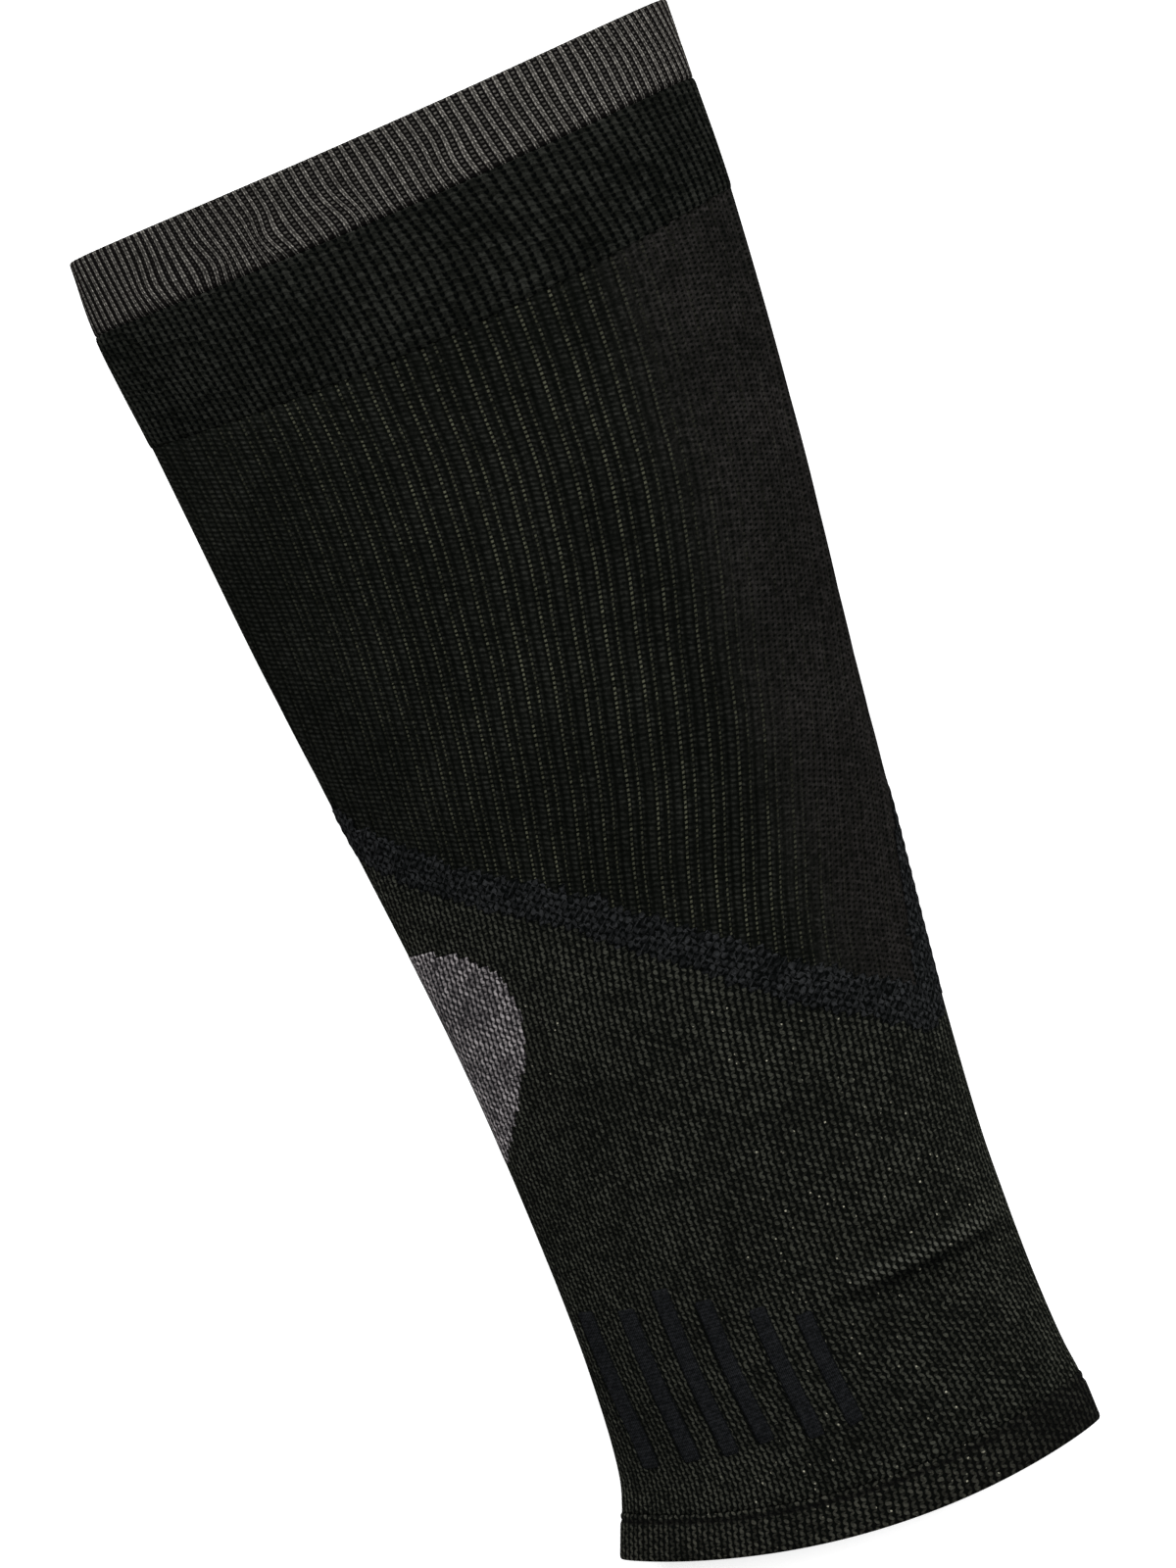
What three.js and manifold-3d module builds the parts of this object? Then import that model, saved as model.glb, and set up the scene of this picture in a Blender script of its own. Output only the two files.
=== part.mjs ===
// Calf compression sleeve: one knitted tube, open at both ends, lying on its back layer.
// Millimetres, +Z up. The sleeve lies along Y, with the wide calf end towards +Y.
//
// Every piece is cut from the same sleeve surface. A place on it has two numbers:
// along  0 at the ankle edge, 1 at the cuff edge, on the centre line
// around share of the way round the tube, from the left fold over the upper layer

import * as THREE from 'three';
import { mergeVertices } from 'three/addons/utils/BufferGeometryUtils.js';
import Module from 'manifold-3d';

// Driving sizes of the sleeve
const LENGTH = 310.5;
const CUFF_WIDTH = 140;
const ANKLE_WIDTH = 97;
const HEM_WIDTH = 107;
const CALF_HEIGHT = 26;
const ANKLE_HEIGHT = 20;

// Depths of the knitted zones along the sleeve
const CUFF_DEPTH = 17.5;
const WELT_DEPTH = 25.8;
const HEM_DEPTH = 10.5;
const BAND_WIDTH = 8.5;
const FLEX_RIB_WIDTH = 3.9;

// Thickness of the knit, and how far the thicker zones stand over the plain knit
const KNIT_WALL = 1.4;
const WELT_WALL = 2.2;
const HEM_WALL = 2.0;
const WELT_RISE = 0.6;
const HEM_RISE = 0.4;
const BAND_RISE = 0.4;
const FLEX_RIB_RISE = 0.3;

// Grooves between the knitted ribs
const CUFF_GROOVE = 0.5;
const CALF_GROOVE = 0.5;
const CUFF_RIBS = 132;
const CALF_RIBS = 44;

// Clearance between neighbouring pieces, and along the sloping edges of the band and the patch
const GAP = 0.3;
const SLOPE_GAP = 0.5;

// Shape of the cross-section: flat underneath, round corners, domed upper layer
const CORNER_REACH = 14;
const FOLD_HEIGHT_SHARE = 0.42;
const DOME_POWER = 2.3;
const CORNER_STEPS_SHARE = 0.2;
const PROFILE_STEPS = 60;

// Columns round the outer and the inner face of each ring
const COLUMNS = 2 * CALF_RIBS;
const CUFF_COLUMNS = 2 * CUFF_RIBS;
const CUFF_INNER_COLUMNS = CALF_RIBS;

// Sections of the sleeve, each at its share of LENGTH
// calf, hem: share of the extra width of the cuff and of the hem over the ankle
// lean: centre line to the right, share of CUFF_WIDTH
// puff: share of the way from ANKLE_HEIGHT to CALF_HEIGHT
// slant, bow: tilt and sag of the knitted courses, shares of the local width
// twist: turn of the knitted columns round the sleeve, share of the upper layer
const SECTIONS = [
  { along: 0.000, calf: 0.000, hem: 1.000, lean: 0.010, puff: 0.00, slant: -0.057, bow: -0.078, twist: -0.150 },
  { along: 0.033, calf: 0.000, hem: 0.600, lean: 0.020, puff: 0.00, slant: -0.042, bow: -0.085, twist: -0.152 },
  { along: 0.054, calf: 0.000, hem: 0.315, lean: 0.023, puff: 0.00, slant: -0.036, bow: -0.080, twist: -0.155 },
  { along: 0.081, calf: 0.000, hem: 0.143, lean: 0.024, puff: 0.00, slant: -0.030, bow: -0.070, twist: -0.165 },
  { along: 0.115, calf: 0.000, hem: 0.040, lean: 0.024, puff: 0.00, slant: -0.025, bow: -0.060, twist: -0.180 },
  { along: 0.155, calf: 0.000, hem: 0.000, lean: 0.024, puff: 0.00, slant: -0.020, bow: -0.050, twist: -0.190 },
  { along: 0.209, calf: 0.011, hem: 0.000, lean: 0.023, puff: 0.05, slant: -0.010, bow: -0.040, twist: -0.190 },
  { along: 0.291, calf: 0.075, hem: 0.000, lean: 0.024, puff: 0.20, slant: 0.000, bow: -0.030, twist: -0.180 },
  { along: 0.372, calf: 0.168, hem: 0.000, lean: 0.025, puff: 0.42, slant: 0.010, bow: -0.030, twist: -0.160 },
  { along: 0.453, calf: 0.290, hem: 0.000, lean: 0.024, puff: 0.65, slant: 0.022, bow: -0.030, twist: -0.117 },
  { along: 0.535, calf: 0.420, hem: 0.000, lean: 0.021, puff: 0.85, slant: 0.035, bow: -0.030, twist: -0.070 },
  { along: 0.697, calf: 0.696, hem: 0.000, lean: 0.017, puff: 1.00, slant: 0.060, bow: -0.030, twist: -0.010 },
  { along: 0.860, calf: 0.906, hem: 0.000, lean: 0.010, puff: 1.00, slant: 0.080, bow: -0.036, twist: 0.000 },
  { along: 0.944, calf: 0.994, hem: 0.000, lean: -0.001, puff: 1.00, slant: 0.067, bow: -0.015, twist: 0.000 },
  { along: 1.000, calf: 1.000, hem: 0.000, lean: 0.000, puff: 1.00, slant: 0.074, bow: -0.011, twist: 0.000 },
];

// Creases across the upper layer
// across, reach: middle and half length, shares of the half width
// breadth: half breadth, share of LENGTH; rise: height over the layer, share of ANKLE_HEIGHT
const CREASES = [
  { along: 0.155, across: 0.60, reach: 0.42, breadth: 0.009, rise: 0.13 },
  { along: 0.144, across: 0.58, reach: 0.46, breadth: 0.007, rise: -0.15 },
  { along: 0.172, across: 0.50, reach: 0.30, breadth: 0.012, rise: 0.05 },
  { along: 0.224, across: 0.48, reach: 0.28, breadth: 0.016, rise: 0.06 },
  { along: 0.100, across: 0.72, reach: 0.26, breadth: 0.014, rise: 0.04 },
];

// Middle line of the support band, in knitted columns: it falls from the left fold
// across the upper layer, climbs steeply at the right fold and runs home underneath
const BAND_FALL = [
  { around: 0.031, along: 0.563 },
  { around: 0.134, along: 0.498 },
  { around: 0.220, along: 0.461 },
  { around: 0.323, along: 0.409 },
  { around: 0.428, along: 0.355 },
  { around: 0.552, along: 0.300 },
];
const BAND_CLIMB = [
  { around: 0.552, along: 0.300 },
  { around: 0.592, along: 0.440 },
];
const BAND_RETURN = [
  { around: 0.592, along: 0.440 },
  { around: 0.700, along: 0.462 },
  { around: 0.850, along: 0.498 },
  { around: 1.031, along: 0.563 },
];

// Grey patch over the left fold: reach to each side of the fold, share of the way round
const PATCH = [
  { along: 0.292, reach: 0.014 },
  { along: 0.335, reach: 0.054 },
  { along: 0.371, reach: 0.082 },
  { along: 0.399, reach: 0.092 },
  { along: 0.427, reach: 0.088 },
  { along: 0.447, reach: 0.062 },
  { along: 0.457, reach: 0.024 },
];

// Flex ribs over the ankle, counted from the left fold, with the same ribs underneath
const FLEX_RIBS = [
  { around: 0.037, from: 0.066, to: 0.181 },
  { around: 0.080, from: 0.069, to: 0.178 },
  { around: 0.119, from: 0.070, to: 0.187 },
  { around: 0.158, from: 0.074, to: 0.173 },
  { around: 0.208, from: 0.070, to: 0.159 },
  { around: 0.251, from: 0.071, to: 0.147 },
];

// Colours and finishes
const FINISHES = {
  greyKnit: { color: 0x5a5856, roughness: 0.85, metalness: 0 },
  blackKnit: { color: 0x161614, roughness: 0.9, metalness: 0 },
  navyKnit: { color: 0x12141c, roughness: 0.85, metalness: 0 },
  patchKnit: { color: 0x6a6668, roughness: 0.85, metalness: 0 },
};

// Places along the sleeve that follow from the sizes above
const HEM_TOP = HEM_DEPTH / LENGTH;
const CUFF_BASE = 1 - CUFF_DEPTH / LENGTH;
const WELT_BASE = CUFF_BASE - WELT_DEPTH / LENGTH;
const HALF_GAP = GAP / 2 / LENGTH;
const CALF_STEADY = BAND_FALL[0].along + 2 * BAND_WIDTH / LENGTH;

function mix(a, b, t) {
  return a + (b - a) * t;
}

function clamp(value, low, high) {
  return Math.min(high, Math.max(low, value));
}

// Slope of a table's column at one of its rows
function slopeAt(rows, key, column, index) {
  const before = rows[Math.max(0, index - 1)];
  const after = rows[Math.min(rows.length - 1, index + 1)];
  return (after[column] - before[column]) / (after[key] - before[key]);
}

// Smooth value of a table's column, running straight on past its first and last rows
function readTable(rows, key, column, at) {
  const last = rows.length - 1;
  if (at <= rows[0][key]) return rows[0][column] + slopeAt(rows, key, column, 0) * (at - rows[0][key]);
  if (at >= rows[last][key]) return rows[last][column] + slopeAt(rows, key, column, last) * (at - rows[last][key]);
  const index = rows.findIndex((row) => row[key] > at) - 1;
  const from = rows[index];
  const to = rows[index + 1];
  const span = to[key] - from[key];
  const t = (at - from[key]) / span;
  const startPull = slopeAt(rows, key, column, index) * span;
  const endPull = slopeAt(rows, key, column, index + 1) * span;
  const step = to[column] - from[column];
  return from[column] + t * (startPull + t * (3 * step - 2 * startPull - endPull + t * (startPull + endPull - 2 * step)));
}

// Size and set of the cross-section at one place along the sleeve
function sectionAt(along) {
  const read = (column) => readTable(SECTIONS, 'along', column, along);
  const extra = read('calf') * (CUFF_WIDTH - ANKLE_WIDTH) + read('hem') * (HEM_WIDTH - ANKLE_WIDTH);
  return {
    half: (ANKLE_WIDTH + extra) / 2,
    height: mix(ANKLE_HEIGHT, CALF_HEIGHT, read('puff')),
    middle: read('lean') * CUFF_WIDTH,
    slant: read('slant'),
    bow: read('bow'),
    twist: read('twist'),
  };
}

// Point of the cross-section at a step round it: 0 to 0.5 over the top, 0.5 to 1 underneath.
// Rise and depth shift it out and in, sideways at the folds and up or down elsewhere.
function profilePoint(section, step, rise, depth) {
  const shift = rise - depth;
  const top = section.height + shift;
  const fold = mix(depth, top, FOLD_HEIGHT_SHARE);
  if (step < 0.5) {
    const angle = Math.PI * (1 - 2 * step);
    const across = Math.sign(Math.cos(angle)) * Math.abs(Math.cos(angle)) ** (2 / DOME_POWER);
    const up = Math.sin(angle) ** (2 / DOME_POWER);
    return [across * (section.half + shift * Math.abs(across) ** 3), mix(fold, top, up)];
  }
  const flatHalf = section.half - CORNER_REACH;
  const under = 2 * step - 1;
  const toCorner = Math.min(under, 1 - under) / CORNER_STEPS_SHARE;
  const side = under < 0.5 ? 1 : -1;
  if (toCorner >= 1) {
    const share = (under - CORNER_STEPS_SHARE) / (1 - 2 * CORNER_STEPS_SHARE);
    return [flatHalf * (1 - 2 * share), depth];
  }
  const turn = toCorner * Math.PI / 2;
  return [side * (flatHalf + (CORNER_REACH + shift) * Math.cos(turn)), mix(depth, fold, 1 - Math.sin(turn))];
}

// Step round the cross-section at a share of the way round it, measured along the cloth
function stepAround(section, around) {
  const share = around - Math.floor(around);
  const under = share >= 0.5;
  const first = under ? 0.5 : 0;
  const lengths = [0];
  let previous = profilePoint(section, first, 0, 0);
  for (let i = 1; i <= PROFILE_STEPS; i += 1) {
    const step = first + 0.5 * i / PROFILE_STEPS;
    const point = profilePoint(section, i === PROFILE_STEPS && under ? 0 : step, 0, 0);
    lengths.push(lengths[i - 1] + Math.hypot(point[0] - previous[0], point[1] - previous[1]));
    previous = point;
  }
  const wanted = (share - first) * 2 * lengths[PROFILE_STEPS];
  const index = clamp(lengths.findIndex((length) => length > wanted) - 1, 0, PROFILE_STEPS - 1);
  const part = (wanted - lengths[index]) / (lengths[index + 1] - lengths[index]);
  return first + 0.5 * (index + clamp(part, 0, 1)) / PROFILE_STEPS;
}

// Height that the creases add to the upper layer
function creaseHeight(along, across) {
  let height = 0;
  for (const crease of CREASES) {
    const length = Math.exp(-(((across - crease.across) / crease.reach) ** 2) * 2);
    const breadth = Math.exp(-(((along - crease.along) / crease.breadth) ** 2));
    height += crease.rise * ANKLE_HEIGHT * length * breadth;
  }
  return height;
}

// Point of the sleeve; around counts from the left fold, rise and depth shift it out and in
function foldPoint(along, around, rise, depth) {
  const section = sectionAt(along);
  const step = stepAround(section, around);
  const [x, z] = profilePoint(section, step, rise, depth);
  const across = profilePoint(section, step, 0, 0)[0] / section.half;
  const width = 2 * section.half;
  const tilt = section.slant * across / 2 + section.bow * (1 - across ** 2);
  const y = LENGTH * (along - 0.5) + width * tilt;
  const onTop = step < 0.5 ? Math.sin(2 * Math.PI * step) : 0;
  return [section.middle + x, y, z + onTop * creaseHeight(along, across)];
}

// The same point, with around counted along the knitted columns
function knitPoint(along, around, rise, depth) {
  return foldPoint(along, around + sectionAt(along).twist / 2, rise, depth);
}

function makeGeometry(points, triangles) {
  const geometry = new THREE.BufferGeometry();
  geometry.setAttribute('position', new THREE.Float32BufferAttribute(points.flat(), 3));
  geometry.setIndex(triangles.flat());
  return geometry;
}

// Closed ring of knit. Each level gives the place along the sleeve for a share round it.
function ringGeometry({ levels, columns, innerColumns, rise, wall, groove, pattern }) {
  const points = [];
  const triangles = [];
  const addLoops = (count, depthAt) => {
    const first = points.length;
    for (const level of levels) {
      for (let i = 0; i < count; i += 1) {
        points.push(knitPoint(level(i / count), i / count, rise, depthAt(i)));
      }
    }
    return (row, i) => first + row * count + (i % count);
  };
  const outer = addLoops(columns, (i) => groove * pattern[i % pattern.length]);
  const inner = addLoops(innerColumns, () => wall);
  const lastRow = levels.length - 1;
  for (let row = 0; row < lastRow; row += 1) {
    for (let i = 0; i < columns; i += 1) {
      triangles.push([outer(row, i), outer(row + 1, i + 1), outer(row + 1, i)]);
      triangles.push([outer(row, i), outer(row, i + 1), outer(row + 1, i + 1)]);
    }
    for (let i = 0; i < innerColumns; i += 1) {
      triangles.push([inner(row, i), inner(row + 1, i), inner(row + 1, i + 1)]);
      triangles.push([inner(row, i), inner(row + 1, i + 1), inner(row, i + 1)]);
    }
  }
  const ratio = columns / innerColumns;
  const bridge = ratio / 2;
  for (let i = 0; i < innerColumns; i += 1) {
    for (let k = 0; k < ratio; k += 1) {
      const near = k < bridge ? i : i + 1;
      const at = ratio * i + k;
      triangles.push([outer(0, at + 1), outer(0, at), inner(0, near)]);
      triangles.push([outer(lastRow, at), outer(lastRow, at + 1), inner(lastRow, near)]);
    }
    const middle = ratio * i + Math.ceil(bridge);
    triangles.push([outer(0, middle), inner(0, i), inner(0, i + 1)]);
    triangles.push([inner(lastRow, i), outer(lastRow, middle), inner(lastRow, i + 1)]);
  }
  return makeGeometry(points, triangles);
}

// Closed slab of knit on a grid. place(u, v) gives [along, around] for shares across and along it,
// and depths holds the depths of its outer and inner face.
function slabGeometry(place, cellsAcross, cellsAlong, rise, depths) {
  const points = [];
  const triangles = [];
  const rowLength = cellsAcross + 1;
  for (const depth of depths) {
    for (let j = 0; j <= cellsAlong; j += 1) {
      for (let i = 0; i <= cellsAcross; i += 1) {
        const [along, around] = place(i / cellsAcross, j / cellsAlong);
        points.push(foldPoint(along, around, rise, depth));
      }
    }
  }
  const face = points.length / 2;
  const outer = (i, j) => j * rowLength + i;
  const inner = (i, j) => face + outer(i, j);
  const addQuad = (a, b, c, d) => triangles.push([a, c, b], [a, d, c]);
  for (let j = 0; j < cellsAlong; j += 1) {
    for (let i = 0; i < cellsAcross; i += 1) {
      addQuad(outer(i, j), outer(i, j + 1), outer(i + 1, j + 1), outer(i + 1, j));
      addQuad(inner(i, j), inner(i + 1, j), inner(i + 1, j + 1), inner(i, j + 1));
    }
    addQuad(outer(0, j), inner(0, j), inner(0, j + 1), outer(0, j + 1));
    addQuad(outer(cellsAcross, j), outer(cellsAcross, j + 1), inner(cellsAcross, j + 1), inner(cellsAcross, j));
  }
  for (let i = 0; i < cellsAcross; i += 1) {
    addQuad(outer(i, 0), outer(i + 1, 0), inner(i + 1, 0), inner(i, 0));
    addQuad(outer(i, cellsAlong), inner(i, cellsAlong), inner(i + 1, cellsAlong), outer(i + 1, cellsAlong));
  }
  return makeGeometry(points, triangles);
}

// Length of cloth round the sleeve at one place along it, near enough for widths and slopes
function clothAround(along) {
  const section = sectionAt(along);
  return 4 * section.half + 2 * section.height * FOLD_HEIGHT_SHARE;
}

// How much longer a sloping edge's clearance is when it is measured along the sleeve
function slopeFactor(alongStep, aroundStep, along) {
  const slope = alongStep * LENGTH / (aroundStep * clothAround(along));
  return Math.hypot(1, slope);
}

// Edge of one leg of the band: side is 1 above the middle line and -1 below it
function legEdge(leg, around, side) {
  const probe = 0.01;
  const middle = readTable(leg, 'around', 'along', around);
  const step = readTable(leg, 'around', 'along', around + probe) - readTable(leg, 'around', 'along', around - probe);
  return middle + side * BAND_WIDTH / 2 / LENGTH * slopeFactor(step, 2 * probe, middle);
}

// Edge of the whole band, for a share round the sleeve
function bandEdge(around, side) {
  const share = around < BAND_FALL[0].around ? around + 1 : around;
  const climb = Math.min(legEdge(BAND_CLIMB, share, side), legEdge(BAND_RETURN, share, side));
  return Math.max(legEdge(BAND_FALL, share, side), climb);
}

// Edge of the knit beside the band: the band's edge, held clear of it by SLOPE_GAP
function besideBand(around, side) {
  const probe = 1 / COLUMNS;
  const edge = bandEdge(around, side);
  const steps = [bandEdge(around + probe, side) - edge, edge - bandEdge(around - probe, side)];
  const steepest = Math.max(...steps.map(Math.abs));
  return edge + side * SLOPE_GAP / LENGTH * slopeFactor(steepest, probe, edge);
}

const wasm = await Module();
wasm.setup();

function toSolid(geometry) {
  const merged = mergeVertices(geometry, 1e-4);
  return new wasm.Manifold(new wasm.Mesh({
    numProp: 3,
    vertProperties: new Float32Array(merged.attributes.position.array),
    triVerts: new Uint32Array(merged.index.array),
  }));
}

function toGeometry(solid) {
  const mesh = solid.getMesh();
  const geometry = new THREE.BufferGeometry();
  geometry.setAttribute('position', new THREE.Float32BufferAttribute(mesh.vertProperties, 3));
  geometry.setIndex(new THREE.Uint32BufferAttribute(mesh.triVerts, 1));
  return geometry;
}

const PLAIN = [0];
const RIBBED = [0, 1];

function cuffBand() {
  const levels = [() => CUFF_BASE + HALF_GAP, () => 1];
  return ringGeometry({
    levels,
    columns: CUFF_COLUMNS,
    innerColumns: CUFF_INNER_COLUMNS,
    rise: WELT_RISE,
    wall: WELT_WALL,
    groove: CUFF_GROOVE,
    pattern: RIBBED,
  });
}

function elasticWelt() {
  const levels = [() => WELT_BASE + HALF_GAP, () => CUFF_BASE - HALF_GAP];
  return ringGeometry({
    levels,
    columns: CUFF_COLUMNS,
    innerColumns: CUFF_INNER_COLUMNS,
    rise: WELT_RISE,
    wall: WELT_WALL,
    groove: CUFF_GROOVE,
    pattern: RIBBED,
  });
}

function calfPanel() {
  const levels = [
    (around) => besideBand(around, 1),
    (around) => mix(besideBand(around, 1), CALF_STEADY, 0.5),
    () => CALF_STEADY,
    () => (CALF_STEADY + WELT_BASE) / 2,
    () => WELT_BASE - HALF_GAP,
  ];
  return ringGeometry({
    levels,
    columns: COLUMNS,
    innerColumns: COLUMNS,
    rise: 0,
    wall: KNIT_WALL,
    groove: CALF_GROOVE,
    pattern: RIBBED,
  });
}

function supportBand() {
  const levels = [(around) => bandEdge(around, -1), (around) => bandEdge(around, 1)];
  return ringGeometry({
    levels,
    columns: COLUMNS,
    innerColumns: COLUMNS,
    rise: BAND_RISE,
    wall: KNIT_WALL + BAND_RISE,
    groove: 0,
    pattern: PLAIN,
  });
}

function ankleHem() {
  const levels = [0, 0.5, 1].map((share) => () => mix(0, HEM_TOP - HALF_GAP, share));
  return ringGeometry({
    levels,
    columns: COLUMNS,
    innerColumns: CUFF_INNER_COLUMNS,
    rise: HEM_RISE,
    wall: HEM_WALL,
    groove: 0,
    pattern: PLAIN,
  });
}

// The patch's cells are narrowest at the fold, where the cloth turns over
const PATCH_CELL_POWER = 1.4;

// Grey patch, or the window for it when it is widened by a clearance
function patchGeometry(clear, rise, depths) {
  const first = PATCH[0].along;
  const last = PATCH[PATCH.length - 1].along;
  const probe = 0.001;
  const reachAt = (along) => readTable(PATCH, 'along', 'reach', along);
  const place = (u, v) => {
    const along = mix(first, last, v);
    const cloth = clothAround(along);
    const lean = (reachAt(along + probe) - reachAt(along - probe)) * cloth / (2 * probe * LENGTH);
    const reach = reachAt(along) + clear * Math.hypot(1, lean) / cloth;
    const end = Math.round(v) === v ? 2 * v - 1 : 0;
    const side = mix(-1, 1, u);
    const closeToFold = Math.sign(side) * Math.abs(side) ** PATCH_CELL_POWER;
    return [along + end * clear / LENGTH, reach * closeToFold];
  };
  return slabGeometry(place, 10, 7, rise, depths);
}

// Flex rib on the upper layer (side 1) or underneath (side -1), or the window for it
function flexRibGeometry(rib, side, clear, rise, depths) {
  const middleTwist = sectionAt((rib.from + rib.to) / 2).twist;
  const place = (u, v) => {
    const along = mix(rib.from - clear / LENGTH, rib.to + clear / LENGTH, v);
    const half = (FLEX_RIB_WIDTH / 2 + clear) / clothAround(along);
    const drift = (sectionAt(along).twist - middleTwist) / 2;
    return [along, side * (rib.around + drift) + mix(-half, half, u)];
  };
  return slabGeometry(place, 1, 4, rise, depths);
}

// A window's cutter runs this far past both faces of the knit
const WINDOW_MARGIN = 1.7;

// Plain ankle knit, with windows for the patch and the flex ribs
function anklePanel() {
  const steady = [0.058, 0.095, 0.134, 0.144, 0.155, 0.185];
  const lastSteady = steady[steady.length - 1];
  const levels = [
    () => HEM_TOP + HALF_GAP,
    ...steady.map((along) => () => along),
    (around) => mix(lastSteady, besideBand(around, -1), 1 / 3),
    (around) => mix(lastSteady, besideBand(around, -1), 2 / 3),
    (around) => besideBand(around, -1),
  ];
  const ring = ringGeometry({
    levels,
    columns: COLUMNS,
    innerColumns: COLUMNS,
    rise: 0,
    wall: KNIT_WALL,
    groove: 0,
    pattern: PLAIN,
  });
  const through = [-WINDOW_MARGIN, KNIT_WALL + WINDOW_MARGIN];
  let solid = toSolid(ring).subtract(toSolid(patchGeometry(SLOPE_GAP, 0, through)));
  for (const side of [1, -1]) {
    for (const rib of FLEX_RIBS) {
      const opening = flexRibGeometry(rib, side, GAP, FLEX_RIB_RISE, through);
      solid = solid.subtract(toSolid(opening));
    }
  }
  return toGeometry(solid);
}

const sleeve = new THREE.Group();

function addPiece(name, geometry, finish) {
  const mesh = new THREE.Mesh(geometry, new THREE.MeshStandardMaterial(finish));
  mesh.name = name;
  sleeve.add(mesh);
}

addPiece('cuff_band', cuffBand(), FINISHES.greyKnit);
addPiece('elastic_welt', elasticWelt(), FINISHES.blackKnit);
addPiece('calf_panel', calfPanel(), FINISHES.blackKnit);
addPiece('support_band', supportBand(), FINISHES.navyKnit);
addPiece('ankle_panel', anklePanel(), FINISHES.blackKnit);
addPiece('side_patch', patchGeometry(0, 0, [0, KNIT_WALL]), FINISHES.patchKnit);
addPiece('ankle_hem', ankleHem(), FINISHES.blackKnit);

let ribNumber = 0;
for (const side of [1, -1]) {
  for (const rib of FLEX_RIBS) {
    ribNumber += 1;
    const name = `flex_rib_${String(ribNumber).padStart(2, '0')}`;
    const depths = [0, KNIT_WALL + FLEX_RIB_RISE];
    addPiece(name, flexRibGeometry(rib, side, 0, FLEX_RIB_RISE, depths), FINISHES.navyKnit);
  }
}

// Origin under the middle of the sleeve, on the surface that it lies on
const box = new THREE.Box3().setFromObject(sleeve, true);
const centre = box.getCenter(new THREE.Vector3());
sleeve.position.set(-centre.x, -centre.y, -box.min.z);

export default sleeve;
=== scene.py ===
"""Calf compression sleeve: its knitted zones, band, patch and ribs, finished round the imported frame."""
import math

import bpy
import numpy as np
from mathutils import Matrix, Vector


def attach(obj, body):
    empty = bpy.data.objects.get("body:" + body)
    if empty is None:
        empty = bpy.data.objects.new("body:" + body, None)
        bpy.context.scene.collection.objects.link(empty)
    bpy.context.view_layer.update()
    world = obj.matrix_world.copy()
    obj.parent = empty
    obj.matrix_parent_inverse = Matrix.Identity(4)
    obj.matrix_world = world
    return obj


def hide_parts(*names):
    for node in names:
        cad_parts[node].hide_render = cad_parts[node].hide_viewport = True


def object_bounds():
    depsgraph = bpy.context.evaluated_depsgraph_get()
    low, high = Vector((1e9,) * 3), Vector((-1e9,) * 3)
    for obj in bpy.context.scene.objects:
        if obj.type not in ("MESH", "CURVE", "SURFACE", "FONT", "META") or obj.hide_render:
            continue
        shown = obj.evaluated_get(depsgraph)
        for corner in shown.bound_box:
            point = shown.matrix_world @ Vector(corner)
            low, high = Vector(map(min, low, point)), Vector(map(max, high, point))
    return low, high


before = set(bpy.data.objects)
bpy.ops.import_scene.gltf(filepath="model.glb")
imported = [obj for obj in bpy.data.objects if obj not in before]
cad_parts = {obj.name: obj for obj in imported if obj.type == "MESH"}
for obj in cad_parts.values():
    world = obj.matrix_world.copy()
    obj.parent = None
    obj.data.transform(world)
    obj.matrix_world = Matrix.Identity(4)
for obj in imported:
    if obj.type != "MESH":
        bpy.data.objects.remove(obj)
cad_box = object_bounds()

MM = 0.001

# Driving sizes of the sleeve, in metres: LENGTH runs along the columns, and the slanting ends reach past it
LENGTH = 310.5 * MM
CUFF_WIDTH = 140 * MM
ANKLE_WIDTH = 97 * MM
HEM_WIDTH = 107 * MM
CALF_HEIGHT = 26 * MM
ANKLE_HEIGHT = 20 * MM
CUFF_DEPTH = 17.5 * MM
WELT_DEPTH = 25.8 * MM
HEM_DEPTH = 10.5 * MM
BAND_WIDTH = 8.5 * MM
FLEX_RIB_WIDTH = 3.9 * MM
KNIT_WALL = 1.4 * MM
WELT_WALL = 2.2 * MM
HEM_WALL = 2.0 * MM
WELT_RISE = 0.6 * MM
HEM_RISE = 0.4 * MM
BAND_RISE = 0.4 * MM

# Relief of the knit: depths between ribs and at rounded edges, and heights over the wall
WELT_SHOWING_RISE = WELT_RISE * 0.4
CUFF_RIB_DEPTH = 0.4 * MM
CUFF_INNER_RIB_DEPTH = 0.15 * MM
WELT_RIB_DEPTH = 0.2 * MM
LADDER_DEPTH = 0.38 * MM
CUFF_EDGE = 0.7 * MM
CUFF_EDGE_DROP = 0.55 * MM
CUFF_INNER_EDGE_DROP = 0.1 * MM
WELT_EDGE = 1.4 * MM
WELT_EDGE_DROP = 0.15 * MM
HEM_EDGE = 1.0 * MM
HEM_EDGE_DROP = 0.3 * MM
HEM_INNER_EDGE_DROP = 0.2 * MM
HEM_GROOVE_PLACE = 8.9 * MM
HEM_GROOVE_BREADTH = 0.55 * MM
HEM_GROOVE_DEPTH = 0.35 * MM
BAND_LIFT = 0.06 * MM
BAND_SHOWING_RISE = BAND_RISE * 0.55
BAND_STITCH_HEIGHT = 0.16 * MM
PATCH_LIFT = 0.05 * MM
FLEX_RIB_LIFT = 0.05 * MM
FLEX_RIB_UNDERSIDE = 0.02 * MM
FLEX_RIB_DOME = 0.18 * MM
FLEX_RIB_END = 0.9 * MM

# Shape of the cross-section: flat underneath, round corners, domed upper layer
CORNER_REACH = 14 * MM
FOLD_HEIGHT_SHARE = 0.42
DOME_POWER = 2.3
CORNER_STEPS_SHARE = 0.2

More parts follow.
